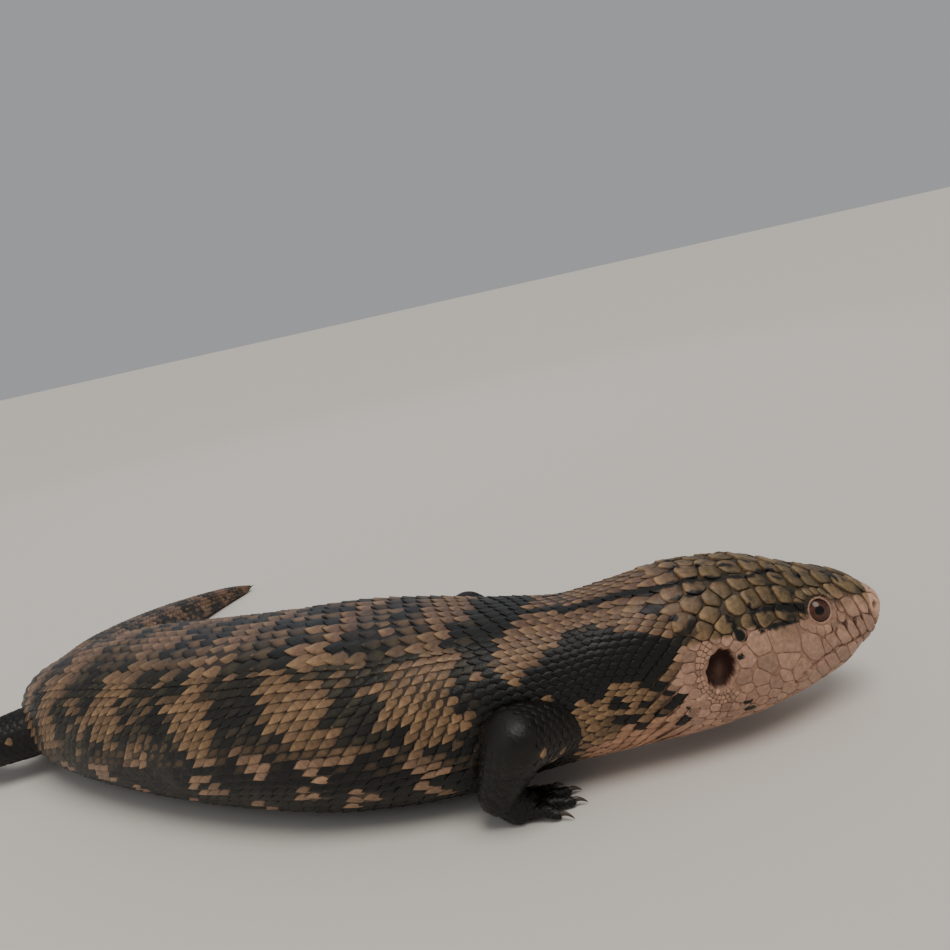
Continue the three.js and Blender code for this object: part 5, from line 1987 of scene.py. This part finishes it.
def build_camera():
    """The camera that sees the model as the photo does."""
    turn, pitch, roll = [math.radians(CAMERA[key]) for key in ("heading", "pitch", "roll")]
    look = Vector((math.sin(turn) * math.cos(pitch), math.cos(turn) * math.cos(pitch), -math.sin(pitch)))
    level = Vector((math.cos(turn), -math.sin(turn), 0))
    over = level.cross(look)
    right = level * math.cos(roll) + over * math.sin(roll)
    up = over * math.cos(roll) - level * math.sin(roll)
    data = bpy.data.cameras.new("camera")
    data.sensor_width = 36
    data.lens = CAMERA["lens"]
    data.clip_start = 0.01
    data.dof.use_dof = False
    camera = bpy.data.objects.new("camera", data)
    matrix = Matrix((right, up, -look)).transposed().to_4x4()
    matrix.translation = Vector(CAMERA["place"]) * MM
    camera.matrix_world = matrix
    bpy.context.scene.collection.objects.link(camera)
    bpy.context.scene.camera = camera


# Operators.

class SKINK_OT_skin(bpy.types.Operator):
    """Builds the one skin over the flesh of the trunk, head, tail and legs"""

    bl_idname = "skink.skin"
    bl_label = "Skin"

    def execute(self, context):
        build_skin(coat_material())
        return {"FINISHED"}


class SKINK_OT_trunk_scales(bpy.types.Operator):
    """Builds the overlapping scales of the neck, trunk and hips"""

    bl_idname = "skink.trunk_scales"
    bl_label = "Trunk scales"

    def execute(self, context):
        for name, first, last in TRUNK_PARTS:
            build_trunk_scales(name, first, last, coat_material())
        return {"FINISHED"}


class SKINK_OT_tail_scales(bpy.types.Operator):
    """Builds the scales of the tail, smaller towards its tip"""

    bl_idname = "skink.tail_scales"
    bl_label = "Tail scales"

    def execute(self, context):
        build_trunk_scales(*TAIL_PART, coat_material())
        return {"FINISHED"}


class SKINK_OT_head_shields(bpy.types.Operator):
    """Builds the shields of the head, the beads round the eyes and the grains of the ears"""

    bl_idname = "skink.head_shields"
    bl_label = "Head shields"

    def execute(self, context):
        build_shields(coat_material())
        return {"FINISHED"}


class SKINK_OT_leg_scales(bpy.types.Operator):
    """Builds the small scales of the legs and feet; the skin has to be there first"""

    bl_idname = "skink.leg_scales"
    bl_label = "Leg scales"

    def execute(self, context):
        if "skin" not in bpy.data.objects:
            raise RuntimeError("the skin has to be built before the leg scales")
        build_limb_scales(coat_material())
        return {"FINISHED"}


class SKINK_OT_eyes(bpy.types.Operator):
    """Builds both eyes"""

    bl_idname = "skink.eyes"
    bl_label = "Eyes"

    def execute(self, context):
        for side in (1, -1):
            build_eye(side)
        return {"FINISHED"}


class SKINK_OT_claws(bpy.types.Operator):
    """Builds the claws of all four feet"""

    bl_idname = "skink.claws"
    bl_label = "Claws"

    def execute(self, context):
        build_claws(claw_material())
        return {"FINISHED"}


class SKINK_OT_stage(bpy.types.Operator):
    """Builds the floor, the lights and the camera"""

    bl_idname = "skink.stage"
    bl_label = "Stage"

    def execute(self, context):
        build_floor()
        build_lights()
        build_camera()
        return {"FINISHED"}


class SKINK_PT_panel(bpy.types.Panel):
    """Lists the sizes, the colours and the steps in order"""

    bl_idname = "SKINK_PT_panel"
    bl_label = "Skink"
    bl_space_type = "VIEW_3D"
    bl_region_type = "UI"
    bl_category = "Skink"

    def draw(self, context):
        for operator in OPERATORS:
            self.layout.operator(operator.bl_idname)
        for group, names in (
            (context.scene.skink_sizes, SkinkSizes.__annotations__),
            (context.scene.skink_colours, SkinkColours.__annotations__),
        ):
            for name in names:
                self.layout.prop(group, name)


OPERATORS = (
    SKINK_OT_skin,
    SKINK_OT_trunk_scales,
    SKINK_OT_tail_scales,
    SKINK_OT_head_shields,
    SKINK_OT_leg_scales,
    SKINK_OT_eyes,
    SKINK_OT_claws,
    SKINK_OT_stage,
)
CLASSES = (SkinkSizes, SkinkColours, *OPERATORS, SKINK_PT_panel)


def register():
    """Makes the steps, sizes and colours known to Blender."""
    for cls in CLASSES:
        bpy.utils.register_class(cls)
    bpy.types.Scene.skink_sizes = bpy.props.PointerProperty(type=SkinkSizes)
    bpy.types.Scene.skink_colours = bpy.props.PointerProperty(type=SkinkColours)


def unregister():
    """Takes them away again."""
    del bpy.types.Scene.skink_colours
    del bpy.types.Scene.skink_sizes
    for cls in reversed(CLASSES):
        bpy.utils.unregister_class(cls)


def main():
    """Builds everything in order."""
    register()
    bpy.ops.skink.skin()
    bpy.ops.skink.trunk_scales()
    bpy.ops.skink.tail_scales()
    bpy.ops.skink.head_shields()
    bpy.ops.skink.leg_scales()
    bpy.ops.skink.eyes()
    bpy.ops.skink.claws()
    bpy.ops.skink.stage()


if __name__ == "__main__":
    main()
